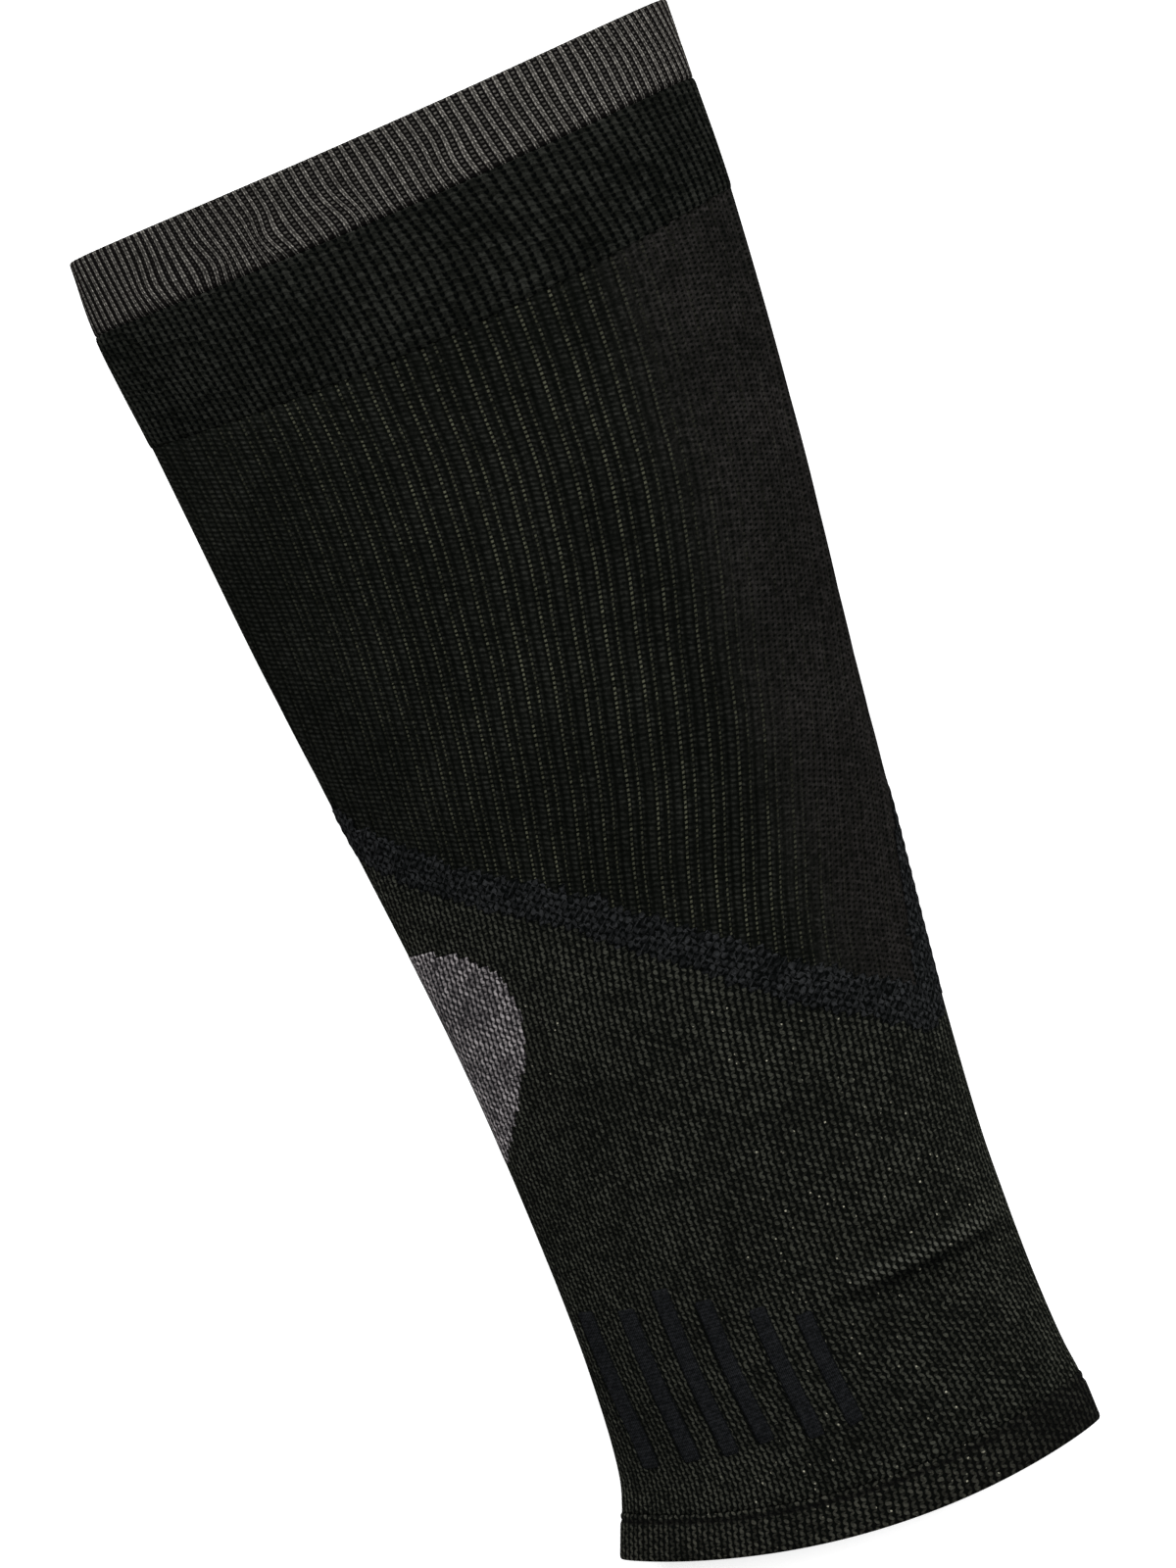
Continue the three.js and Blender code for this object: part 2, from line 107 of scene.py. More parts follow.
# The knit: columns and repeats round the sleeve, height of a course, and sway in rib columns
RIB_COLUMNS = 144
CALF_REPEATS = 48
COURSE = 0.72 * MM
RIB_SWAY = 0.15
CALF_SWAY = 0.06

# Cells of the meshes: height of a row, and number of cells round the sleeve or along it
RIB_ROW = 1.6 * MM
CALF_ROW = 2.0 * MM
HEM_ROW = 0.8 * MM
RIB_CELLS = 6 * RIB_COLUMNS
CALF_CELLS = 4 * RIB_COLUMNS
ANKLE_CELLS = 264
ANKLE_ROWS = 214
HEM_CELLS = 528

# Stitches of the band: whole ones round the sleeve and along it, and the cells of each
BAND_STITCHES_ROUND = 176
BAND_STITCHES_ALONG = 76
STITCH_CELLS_ROUND = 6
STITCH_CELLS_ALONG = 3

# Width of a rib column as a share of the mean one, by share of the way round from the left fold
COLUMN_PITCH = (
    (0.000, 0.75), (0.070, 0.80), (0.120, 0.90), (0.200, 1.08), (0.270, 1.19),
    (0.330, 1.24), (0.410, 1.12), (0.455, 0.88), (0.500, 0.75),
)

# Shift that centres the sleeve's box on the frame's origin
SLEEVE_OFFSET = np.array((0.007, 1.722, 0.0)) * MM

# Places along the sleeve, as shares of LENGTH
HEM_TOP = HEM_DEPTH / LENGTH
CUFF_BASE = 1 - CUFF_DEPTH / LENGTH
WELT_BASE = CUFF_BASE - WELT_DEPTH / LENGTH
CALF_ROWS_FROM = 0.285
UNDER_BAND = 1.0 * MM / LENGTH
BAND_ROWS_FROM = 0.272
ANKLE_ROWS_TO = 0.572

# Sections of the sleeve: share of LENGTH, then the extra width towards the cuff and the hem,
# lean, puff, slant and bow of the courses, and twist of the columns
SECTION_COLUMNS = ("along", "calf", "hem", "lean", "puff", "slant", "bow", "twist")
SECTIONS = (
    (0.000, 0.000, 1.000, 0.010, 0.00, -0.057, -0.078, -0.150),
    (0.033, 0.000, 0.600, 0.020, 0.00, -0.042, -0.085, -0.152),
    (0.054, 0.000, 0.315, 0.023, 0.00, -0.036, -0.080, -0.155),
    (0.081, 0.000, 0.143, 0.024, 0.00, -0.030, -0.070, -0.165),
    (0.115, 0.000, 0.040, 0.024, 0.00, -0.025, -0.060, -0.180),
    (0.155, 0.000, 0.000, 0.024, 0.00, -0.020, -0.050, -0.190),
    (0.209, 0.011, 0.000, 0.023, 0.05, -0.010, -0.040, -0.190),
    (0.291, 0.075, 0.000, 0.024, 0.20, 0.000, -0.030, -0.180),
    (0.372, 0.168, 0.000, 0.025, 0.42, 0.010, -0.030, -0.160),
    (0.453, 0.290, 0.000, 0.024, 0.65, 0.022, -0.030, -0.117),
    (0.535, 0.420, 0.000, 0.021, 0.85, 0.035, -0.030, -0.070),
    (0.697, 0.696, 0.000, 0.017, 1.00, 0.060, -0.030, -0.010),
    (0.860, 0.906, 0.000, 0.010, 1.00, 0.080, -0.036, 0.000),
    (0.944, 0.994, 0.000, -0.001, 1.00, 0.067, -0.015, -0.022),
    (1.000, 1.000, 0.000, 0.000, 1.00, 0.074, -0.011, -0.046),
)

# Creases over the upper layer: place along, middle and half length across (shares of the half
# width), half breadth (share of LENGTH) and rise (share of ANKLE_HEIGHT)
CREASES = (
    (0.1535, 0.66, 0.48, 0.0068, 0.160),
    (0.1400, 0.66, 0.50, 0.0058, -0.125),
    (0.1680, 0.52, 0.38, 0.0080, -0.050),
    (0.2240, 0.48, 0.28, 0.0160, 0.050),
    (0.1000, 0.72, 0.26, 0.0140, 0.030),
    (0.1430, -0.10, 0.35, 0.0035, -0.020),
)

# Middle line of the support band, round from the left fold and home underneath: shares round and along
BAND_PATH = (
    (0.000, 0.563), (0.018, 0.547), (0.088, 0.498), (0.164, 0.4605), (0.253, 0.409),
    (0.346, 0.355), (0.430, 0.316), (0.466, 0.300), (0.474, 0.303), (0.480, 0.318),
    (0.492, 0.375), (0.505, 0.425), (0.530, 0.452), (0.620, 0.470), (0.760, 0.500),
    (0.900, 0.532), (1.000, 0.563),
)

# Grey patch over the left fold: share of LENGTH, and reach to each side of the fold
PATCH = (
    (0.292, 0.010), (0.335, 0.054), (0.371, 0.082), (0.399, 0.092),
    (0.427, 0.088), (0.447, 0.062), (0.457, 0.024),
)

# Flex ribs: share of the way round from the left fold, then their ends as shares of LENGTH
FLEX_RIBS = (
    (0.037, 0.066, 0.181), (0.080, 0.069, 0.178), (0.119, 0.070, 0.187),
    (0.158, 0.074, 0.173), (0.208, 0.070, 0.159), (0.251, 0.071, 0.147),
)


def smooth_lookup(keys, values, at):
    """Smooth curve through a table's values, straight on past its ends."""
    slopes = np.empty_like(values)
    slopes[1:-1] = (values[2:] - values[:-2]) / (keys[2:] - keys[:-2])
    slopes[0] = (values[1] - values[0]) / (keys[1] - keys[0])
    slopes[-1] = (values[-1] - values[-2]) / (keys[-1] - keys[-2])
    row = np.clip(np.searchsorted(keys, at, side="right") - 1, 0, len(keys) - 2)
    span = keys[row + 1] - keys[row]
    t = (at - keys[row]) / span
    start_pull = slopes[row] * span
    end_pull = slopes[row + 1] * span
    step = values[row + 1] - values[row]
    bend = 3 * step - 2 * start_pull - end_pull + t * (start_pull + end_pull - 2 * step)
    inside = values[row] + t * (start_pull + t * bend)
    below = values[0] + slopes[0] * (at - keys[0])
    above = values[-1] + slopes[-1] * (at - keys[-1])
    return np.where(at <= keys[0], below, np.where(at >= keys[-1], above, inside))


SECTION_TABLE = dict(zip(SECTION_COLUMNS, np.array(SECTIONS).T))


def section_value(name, along):
    return smooth_lookup(SECTION_TABLE["along"], SECTION_TABLE[name], along)


def section_at(along):
    """Half width and height of the cross-section, for an array of places along the sleeve."""
    extra = section_value("calf", along) * (CUFF_WIDTH - ANKLE_WIDTH)
    extra = extra + section_value("hem", along) * (HEM_WIDTH - ANKLE_WIDTH)
    height = ANKLE_HEIGHT + section_value("puff", along) * (CALF_HEIGHT - ANKLE_HEIGHT)
    return (ANKLE_WIDTH + extra) / 2, height


def profile_points(half, height, step, shift, depth):
    """Points of the cross-section: step 0 to 0.5 runs over the top, 0.5 to 1 underneath."""
    top = height + shift
    fold = depth + (top - depth) * FOLD_HEIGHT_SHARE
    angle = np.pi * (1 - 2 * np.minimum(step, 0.5))
    across = np.sign(np.cos(angle)) * np.abs(np.cos(angle)) ** (2 / DOME_POWER)
    up = np.abs(np.sin(angle)) ** (2 / DOME_POWER)
    top_x = across * (half + shift * np.abs(across) ** 3)
    top_z = fold + (top - fold) * up
    under = np.clip(2 * step - 1, 0, 1)
    to_corner = np.minimum(np.minimum(under, 1 - under) / CORNER_STEPS_SHARE, 1)
    turn = to_corner * np.pi / 2
    side = np.where(under < 0.5, 1, -1)
    flat_half = half - CORNER_REACH
    corner_x = side * (flat_half + (CORNER_REACH + shift) * np.cos(turn))
    flat_share = (under - CORNER_STEPS_SHARE) / (1 - 2 * CORNER_STEPS_SHARE)
    under_x = np.where(to_corner < 1, corner_x, flat_half * (1 - 2 * flat_share))
    under_z = depth + (fold - depth) * (1 - np.sin(turn))
    on_top = step < 0.5
    return np.where(on_top, top_x, under_x), np.where(on_top, top_z, under_z)


# Steps round the cross-section, looked up by place along and by share of the cloth round it
LOOKUP_LEVELS = np.linspace(-0.02, 1.02, 261)
HALF_STEPS = 240


def build_step_lookup():
    """For each level: the steps at even shares of the cloth, and the cloth's length over and under."""
    half, height = section_at(LOOKUP_LEVELS)
    shares = np.linspace(0, 1, 2 * HALF_STEPS + 1)
    lookup = np.empty((len(LOOKUP_LEVELS), 2 * HALF_STEPS + 1))
    arcs = np.empty((len(LOOKUP_LEVELS), 2))
    for level in range(len(LOOKUP_LEVELS)):
        for number, first in enumerate((0.0, 0.5)):
            steps = first + 0.5 * np.linspace(0, 1, HALF_STEPS + 1)
            steps[-1] -= 1e-9 if first == 0 else 0
            x, z = profile_points(half[level], height[level], steps, 0.0, 0.0)
            run = np.concatenate([[0], np.cumsum(np.hypot(np.diff(x), np.diff(z)))])
            columns = slice(0, HALF_STEPS + 1) if first == 0 else slice(HALF_STEPS, None)
            wanted = (shares[columns] - first) * 2 * run[-1]
            lookup[level, columns] = np.interp(wanted, run, steps)
            arcs[level, number] = run[-1]
    return lookup, arcs


STEP_LOOKUP, ARC_LENGTHS = build_step_lookup()


def cloth_round(along, around):
    """Metres of cloth round the sleeve for a whole turn, as the layer at that place has it."""
    over = np.interp(along, LOOKUP_LEVELS, ARC_LENGTHS[:, 0])
    under = np.interp(along, LOOKUP_LEVELS, ARC_LENGTHS[:, 1])
    return 2 * np.where(np.mod(around, 1.0) < 0.5, over, under)


def step_around(along, around):
    """Step round the cross-section at a share of the cloth round it, from the left fold."""
    share = np.mod(around, 1.0) * 2 * HALF_STEPS
    level = (along - LOOKUP_LEVELS[0]) / (LOOKUP_LEVELS[1] - LOOKUP_LEVELS[0])
    column = np.clip(share.astype(int), 0, 2 * HALF_STEPS - 1)
    row = np.clip(level.astype(int), 0, len(LOOKUP_LEVELS) - 2)
    u = share - column
    v = level - row
    low = STEP_LOOKUP[row, column] * (1 - u) + STEP_LOOKUP[row, column + 1] * u
    high = STEP_LOOKUP[row + 1, column] * (1 - u) + STEP_LOOKUP[row + 1, column + 1] * u
    return np.mod(low * (1 - v) + high * v, 1.0)


def crease_height(along, across):
    """Height that the creases add, across counted in half widths from the middle."""
    height = np.zeros_like(along)
    for place, middle, reach, breadth, rise in CREASES:
        length = np.exp(-2 * ((across - middle) / reach) ** 2)
        height += rise * ANKLE_HEIGHT * length * np.exp(-((along - place) / breadth) ** 2)
    return height


def fold_points(along, around, shift):
    """Points of the sleeve: around counts from the left fold, shift moves them out or in."""
    along, around, shift = np.broadcast_arrays(along, around, shift)
    depth = np.maximum(-shift, 0)
    half, height = section_at(along)
    step = step_around(along, around)
    x, z = profile_points(half, height, step, shift, depth)
    across = profile_points(half, height, step, 0.0, 0.0)[0] / half
    tilt = section_value("slant", along) * across / 2 + section_value("bow", along) * (1 - across ** 2)
    y = LENGTH * (along - 0.5) + 2 * half * tilt
    on_top = np.where(step < 0.5, np.sin(2 * np.pi * step), 0.0)
    z = z + on_top * crease_height(along, across)
    points = np.stack([x + section_value("lean", along) * CUFF_WIDTH, y, z], axis=-1)
    return points + SLEEVE_OFFSET


def build_column_places():
    """Shares of the columns and of the cloth that belong together, for a whole turn."""
    place = np.linspace(0, 0.5, 501)
    density = 1 / np.interp(place, *np.array(COLUMN_PITCH).T)
    share = np.concatenate([[0], np.cumsum((density[1:] + density[:-1]) / 2)])
    share *= 0.5 / share[-1]
    return np.concatenate([share, 1 - share[-2::-1]]), np.concatenate([place, 1 - place[-2::-1]])


COLUMN_SHARES, COLUMN_PLACES = build_column_places()


def column_around(along, column):
    """Share of the cloth from the left fold for a knitted column: twisted, and crowded at the folds."""
    turned = column + section_value("twist", along) / 2
    return np.floor(turned) + np.interp(np.mod(turned, 1.0), COLUMN_SHARES, COLUMN_PLACES)


# Kinks in the ribbed end: column and place along, reach in each (all shares), and shift in rib columns
KINKS = (
    (0.150, 0.958, 0.016, 0.014, 0.75),
    (0.205, 0.962, 0.014, 0.013, -0.80),
    (0.252, 0.952, 0.014, 0.014, 0.60),
    (0.330, 0.958, 0.018, 0.016, -0.45),
    (0.100, 0.960, 0.018, 0.014, -0.55),
)


def wavy_columns(along, column, sway):
    """Columns that sway a little as worn knit does, with a few kinks at the ribbed end."""
    slow = np.sin(2 * np.pi * (along * 6 + column * 3))
    slow = slow + 0.6 * np.sin(2 * np.pi * (along * 13 + column * 7 + 0.4))
    for middle, place, reach, length, shift in KINKS:
        away = ((column - middle) / reach) ** 2 + ((along - place) / length) ** 2
        slow = slow + shift / RIB_SWAY * np.exp(-away)
    return column + sway * slow / RIB_COLUMNS


# Mesh building: every zone is a closed shell of an outer and an inner layer of cells

MOST_PASSES = 6


def without_corner_contacts(kept):
    """Adds cells where two kept ones would meet only at a corner."""
    kept = kept.copy()
    for _ in range(MOST_PASSES):
        right = np.roll(kept, -1, axis=1)
        rising = kept[:-1] & right[1:] & ~kept[1:] & ~right[:-1]
        falling = kept[1:] & right[:-1] & ~kept[:-1] & ~right[1:]
        if not (rising.any() or falling.any()):
            return kept
        kept[1:] |= rising
        kept[:-1] |= falling
    return kept


def shell_faces(kept, columns):
    """Corner numbers of the shell's faces, and of the uv grid they take; inner points come second."""
    rows = kept.shape[0]
    r, c = np.nonzero(kept)
    count = (rows + 1) * columns

    def point(row, column):
        return row * columns + column % columns

    def spot(row, column):
        return row * (columns + 1) + column

    def quads(cells, corners):
        """corners: (row step, column step, layer) four times over, outward order."""
        row, column = cells
        points = [point(row + up, column + on) + layer * count for up, on, layer in corners]
        spots = [spot(row + up, column + on) for up, on, layer in corners]
        return np.stack(points, 1), np.stack(spots, 1)

    below = np.zeros_like(kept)
    below[1:] = kept[:-1]
    above = np.zeros_like(kept)
    above[:-1] = kept[1:]
    left = np.roll(kept, 1, axis=1)
    right = np.roll(kept, -1, axis=1)
    parts = [
        quads((r, c), ((0, 0, 0), (0, 1, 0), (1, 1, 0), (1, 0, 0))),
        quads((r, c), ((0, 0, 1), (1, 0, 1), (1, 1, 1), (0, 1, 1))),
        quads(np.nonzero(kept & ~below), ((0, 1, 0), (0, 0, 0), (0, 0, 1), (0, 1, 1))),
        quads(np.nonzero(kept & ~above), ((1, 0, 0), (1, 1, 0), (1, 1, 1), (1, 0, 1))),
        quads(np.nonzero(kept & ~left), ((0, 0, 0), (1, 0, 0), (1, 0, 1), (0, 0, 1))),
        quads(np.nonzero(kept & ~right), ((1, 1, 0), (0, 1, 0), (0, 1, 1), (1, 1, 1))),
    ]
    return tuple(np.concatenate(part) for part in zip(*parts))


def mesh_object(name, points, faces, uv_maps):
    """Object from points, quads, and uv values for each face corner."""
    used, renumbered = np.unique(faces, return_inverse=True)
    points = points[used]
    faces = renumbered.reshape(faces.shape)
    mesh = bpy.data.meshes.new(name)
    mesh.vertices.add(len(points))
    mesh.vertices.foreach_set("co", points.ravel())
    mesh.loops.add(faces.size)
    mesh.loops.foreach_set("vertex_index", faces.ravel().astype(np.int32))
    mesh.polygons.add(len(faces))
    mesh.polygons.foreach_set("loop_start", np.arange(0, faces.size, 4, dtype=np.int32))
    mesh.polygons.foreach_set("use_smooth", np.ones(len(faces), bool))
    for map_name, values in uv_maps.items():
        layer = mesh.uv_layers.new(name=map_name)
        layer.data.foreach_set("uv", values.reshape(-1).astype(np.float32))
    mesh.update(calc_edges=True)
    mesh.validate()
    thing = bpy.data.objects.new(name, mesh)
    bpy.context.collection.objects.link(thing)
    return thing


def rows_with_ends(start, end, pitch, round_over):
    """Places along the sleeve from start to end, closer together where the ends round over."""
    edge = round_over * (1 - np.cos(np.linspace(0, np.pi / 2, 4)))
    edge = edge[:-1] / LENGTH
    count = max(int(round((end - start) * LENGTH / pitch)), 2)
    middle = np.linspace(start + round_over / LENGTH, end - round_over / LENGTH, count)
    return np.concatenate([start + edge, middle, end - edge[::-1]])


def edge_drop(along, round_over):
    """1 at a zone's own ends, falling to 0 where the rounded edge is over, for each row."""
    near = np.minimum(along - along[0], along[-1] - along) * LENGTH
    t = np.clip(1 - near / round_over, 0, 1)
    return 1 - np.sqrt(1 - t ** 2)[:, None]


def cell_middles(values):
    """Values halfway between neighbours."""
    return (values[:-1] + values[1:]) / 2


def band_line(around):
    """Place along the sleeve of the band's middle line."""
    return np.interp(np.mod(around, 1.0), *np.array(BAND_PATH).T)


FINE_STEPS = 8000


def smooth_path(points, pitch):
    """Points along a smooth line through the given ones, evenly spaced."""
    run = np.concatenate([[0], np.cumsum(np.hypot(*np.diff(points, axis=0).T))])
    fine = np.linspace(0, run[-1], FINE_STEPS)
    curve = np.stack([smooth_lookup(run, points[:, axis], fine) for axis in (0, 1)], 1)
    fine_run = np.concatenate([[0], np.cumsum(np.hypot(*np.diff(curve, axis=0).T))])
    even = np.linspace(0, fine_run[-1], int(fine_run[-1] / pitch) + 1)
    return np.stack([np.interp(even, fine_run, curve[:, axis]) for axis in (0, 1)], 1)


def shell_object(name, place, knit, outer, inner, kept):
    """Closed shell over a grid of places (share round, share along); its last column is its first again."""
    around, along = place[..., 0], place[..., 1]
    outer = np.broadcast_to(outer, along.shape)
    inner = np.broadcast_to(inner, along.shape)
    layers = [fold_points(along, around, shift)[:, :-1].reshape(-1, 3) for shift in (outer, inner)]
    faces, spots = shell_faces(kept, along.shape[1] - 1)
    uv_maps = {"knit": knit.reshape(-1, 2)[spots], "place": place.reshape(-1, 2)[spots]}
    return mesh_object(name, np.concatenate(layers), faces, uv_maps)


def zone_shell(name, along, column, outer, inner, kept=None, sway=0.0):
    """Shell over rows along the sleeve and knitted columns round it; shifts are arrays or values."""
    along, column = np.meshgrid(along, column, indexing="ij")
    around = column_around(along, wavy_columns(along, column, sway))
    knit = np.stack([column * RIB_COLUMNS, along * LENGTH / COURSE], -1)
    cells = (along.shape[0] - 1, along.shape[1] - 1)
    kept = np.ones(cells, bool) if kept is None else without_corner_contacts(kept)
    return shell_object(name, np.stack([around, along], -1), knit, outer, inner, kept)


def cell_places(along, column):
    """Share round and share along of each cell's middle."""
    along, column = np.meshgrid(cell_middles(along), cell_middles(column), indexing="ij")
    return column_around(along, column), along


def cell_area(place, kept):
    """Flat area of the kept cells, in square metres."""
    around, along = place
    wide = cloth_round(along, around) / along.shape[1]
    return float((wide * (along[1, 0] - along[0, 0]) * LENGTH)[kept].sum())


def strip_object(name, path, side, outer, inner):
    """Shell along a path of places; side: distance to the left of it, rows by path points."""
    around, along = path[:, 0], path[:, 1]
    scale = cloth_round(along, around)
    step_on = np.gradient(path, axis=0) * np.stack([scale, np.full_like(scale, LENGTH)], 1)
    step_on /= np.hypot(step_on[:, 0], step_on[:, 1])[:, None]
    place = np.stack([
        around - step_on[:, 1] * side / scale,
        along + step_on[:, 0] * side / LENGTH,
    ], -1)
    steps = np.hypot(np.diff(around) * scale[1:], np.diff(along) * LENGTH)
    run = np.concatenate([[0], np.cumsum(steps)])
    knit = np.stack([side / COURSE, np.broadcast_to(run / COURSE, side.shape)], -1)
    kept = np.ones((side.shape[0] - 1, side.shape[1]), bool)
    kept[:, -1] = False
    end = 2 * place[:, -1:] - place[:, -2:-1]
    grids = [np.concatenate([grid, grid[:, -1:]], axis=1) for grid in (knit, outer, inner)]
    return shell_object(name, np.concatenate([place, end], axis=1), *grids, kept)


def dome(offset, reach):
    """1 at the middle of a ridge, 0 at its edges and beyond."""
    return np.sqrt(np.clip(1 - (offset / reach) ** 2, 0, 1))


def rib_relief(column):
    """0 to 1: one round ridge to each rib column."""
    place = np.mod(column * RIB_COLUMNS, 1.0)
    return dome(place - 0.5, 0.5)


def repeat_relief(column):
    """0 to 1: a narrow and a wide ridge to each repeat of the calf, with ladders between."""
    place = np.mod(column * CALF_REPEATS, 1.0)
    narrow = dome(place - 0.32, 0.15)
    wide = dome(place - 0.79, 0.22)
    return np.maximum(narrow, wide)


# Zones of the sleeve

def build_cuff():
    along = rows_with_ends(CUFF_BASE, 1.0, RIB_ROW, CUFF_EDGE)
    column = np.linspace(0, 1, RIB_CELLS + 1)
    edge = edge_drop(along, CUFF_EDGE)
    furrow = 1 - rib_relief(column)[None]
    outer = -CUFF_RIB_DEPTH * furrow - CUFF_EDGE_DROP * edge
    inner = -KNIT_WALL + CUFF_INNER_EDGE_DROP * edge - CUFF_INNER_RIB_DEPTH * furrow
    return zone_shell("cuff_band_knit", along, column, outer, inner, sway=RIB_SWAY)


def build_welt():
    along = rows_with_ends(WELT_BASE, CUFF_BASE, RIB_ROW, WELT_EDGE)
    column = np.linspace(0, 1, RIB_CELLS + 1)
    edge = edge_drop(along, WELT_EDGE)
    furrow = 1 - rib_relief(column)[None]
    outer = WELT_SHOWING_RISE - WELT_RIB_DEPTH * furrow - (WELT_SHOWING_RISE + WELT_EDGE_DROP) * edge
    inner = WELT_RISE - WELT_WALL
    return zone_shell("elastic_welt_knit", along, column, outer, inner, sway=RIB_SWAY)


def build_calf():
    """The calf's zone and its flat area: it ends a little under the band's middle line."""
    along = np.arange(CALF_ROWS_FROM, WELT_BASE, CALF_ROW / LENGTH)
    along = np.append(along[:-1], WELT_BASE)
    column = np.linspace(0, 1, CALF_CELLS + 1)
    place = cell_places(along, column)
    kept = place[1] > band_line(place[0]) - UNDER_BAND
    outer = -LADDER_DEPTH * (1 - repeat_relief(column)[None])
    piece = zone_shell("calf_panel_knit", along, column, outer, -KNIT_WALL, kept, sway=CALF_SWAY)
    return piece, cell_area(place, kept)


def in_patch(around, along):
    """Whether places are in the patch over the left fold."""
    from_fold = np.abs(np.mod(around + 0.5, 1.0) - 0.5)
    rows = np.array(PATCH)
    reach = np.interp(along, rows[:, 0], rows[:, 1], left=0, right=0)
    return from_fold < reach


def ankle_grid():
    """Rows and columns that the ankle and the patch share."""
    return np.linspace(HEM_TOP, ANKLE_ROWS_TO, ANKLE_ROWS + 1), np.linspace(0, 1, ANKLE_CELLS + 1)


def toothed_patch_cells():
    """Patch cells, two rows of cells to a tooth, so that its edge has the teeth of the knit."""
    along, column = ankle_grid()
    around, level = cell_places(along, column)
    first = np.arange(len(along) - 1) // 2 * 2
    return in_patch(around[first], level[first])


def build_ankle():
    along, column = ankle_grid()
    place = cell_places(along, column)
    kept = (place[1] < band_line(place[0])) & ~toothed_patch_cells()
    piece = zone_shell("ankle_panel_knit", along, column, 0.0, -KNIT_WALL, kept)
    return piece, cell_area(place, kept)


def build_patch():
    along, column = ankle_grid()
    kept = toothed_patch_cells()
    piece = zone_shell("side_patch_knit", along, column, PATCH_LIFT, -KNIT_WALL, kept)
    return piece, cell_area(cell_places(along, column), kept)


def build_hem():
    along = rows_with_ends(0.0, HEM_TOP, HEM_ROW, HEM_EDGE)
    edge = edge_drop(along, HEM_EDGE)
    groove = np.exp(-((along * LENGTH - HEM_GROOVE_PLACE) / HEM_GROOVE_BREADTH) ** 2)[:, None]
    outer = HEM_RISE - HEM_GROOVE_DEPTH * groove - (HEM_RISE + HEM_EDGE_DROP) * edge
    inner = HEM_RISE - HEM_WALL + HEM_INNER_EDGE_DROP * edge
    return zone_shell("ankle_hem_knit", along, np.linspace(0, 1, HEM_CELLS + 1), outer, inner)


def build_band_path():
    """The band's middle line, closed, rounded where its legs meet, as places 1.2 mm apart."""
    points = np.array(BAND_PATH[:-1])
    looped = np.concatenate([points + (turn, 0) for turn in (-1, 0, 1)])
    scale = np.array((cloth_round(0.4, 0.2), LENGTH))
    path = smooth_path(looped * scale, 0.4 * MM) / scale
    start = np.argmin(np.abs(path[:, 0]))
    end = np.argmin(np.abs(path[:, 0] - 1.0))
    path = path[start:end + 1].copy()
    path[-1] = path[0] + (1, 0)
    return path[::3]


FAR_AWAY = 1.0


def band_distance(path, around, along):
    """Metres from the band's middle line, for arrays of places."""
    nearest = np.full(np.shape(around), FAR_AWAY)
    scale = cloth_round(along, around)
    for turn in (-1, 0, 1):
        for part in np.array_split(path, 8):
            aside = (around[..., None] - part[:, 0] - turn) * scale[..., None]
            up = (along[..., None] - part[:, 1]) * LENGTH
            nearest = np.minimum(nearest, np.hypot(aside, up).min(axis=-1))
    return nearest


def build_band():
    """The band in whole stitches, two courses by one column, so its edges are uneven."""
    path = build_band_path()
    rows = np.arange(BAND_STITCHES_ALONG * STITCH_CELLS_ALONG + 1)
    along = BAND_ROWS_FROM + rows * (2 * COURSE / STITCH_CELLS_ALONG) / LENGTH
    column = np.linspace(0, 1, BAND_STITCHES_ROUND * STITCH_CELLS_ROUND + 1)
    stitches = cell_places(along[::STITCH_CELLS_ALONG], column[::STITCH_CELLS_ROUND])
    uneven = np.random.default_rng(5).uniform(-0.5, 0.5, stitches[0].shape) * MM
    in_band = band_distance(path, *stitches) + uneven < BAND_WIDTH / 2
    kept = np.kron(in_band, np.ones((STITCH_CELLS_ALONG, STITCH_CELLS_ROUND))).astype(bool)
    grid_along, grid_column = np.meshgrid(along, column, indexing="ij")
    grid_around = column_around(grid_along, grid_column)
    close = np.zeros(grid_along.shape, bool)
    close[:-1, :-1] |= kept
    close[1:, 1:] |= kept
    distance = np.full(grid_along.shape, FAR_AWAY)
    distance[close] = band_distance(path, grid_around[close], grid_along[close])
    distance[:, -1] = distance[:, 0]
    rounding = dome(distance, BAND_WIDTH * 0.56)
    stitch = grid_column * BAND_STITCHES_ROUND / 1.5
    course = grid_along * LENGTH / COURSE / 4
    bumps = np.sin(np.pi * (stitch + course)) * np.sin(np.pi * (stitch - course))
    outer = BAND_LIFT + (BAND_SHOWING_RISE + BAND_STITCH_HEIGHT * bumps) * rounding
    return zone_shell("support_band_knit", along, column, outer, 0.0, kept)


def build_flex_rib(number, rib, side_of_fold):
    """A smooth rib with rounded ends and slightly uneven sides, along the turn of the columns."""
    around, start, end = rib
    along = np.linspace(start, end, int((end - start) * LENGTH / FLEX_RIB_END) + 1)
    middle_twist = section_value("twist", (start + end) / 2)
    drift = (section_value("twist", along) - middle_twist) / 2
    path = np.stack([side_of_fold * around + drift, along], 1)
    near_end = np.minimum(along - start, end - along) * LENGTH
    taper = np.sqrt(np.clip(1 - (1 - near_end / FLEX_RIB_END).clip(0, 1) ** 2, 0.7, 1))
    share = np.linspace(-1, 1, 13)[:, None]
    uneven = 1 + 0.08 * np.sin(along * 1100 + number)
    side = share * (taper * uneven)[None] * FLEX_RIB_WIDTH / 2
    outer = FLEX_RIB_LIFT + FLEX_RIB_DOME * np.sqrt(np.clip(1 - share ** 4, 0, 1)) * taper[None]
    inner = np.full_like(outer, FLEX_RIB_UNDERSIDE)
    return strip_object(f"flex_rib_{number:02d}_knit", path, side, outer, inner)


# Shader building

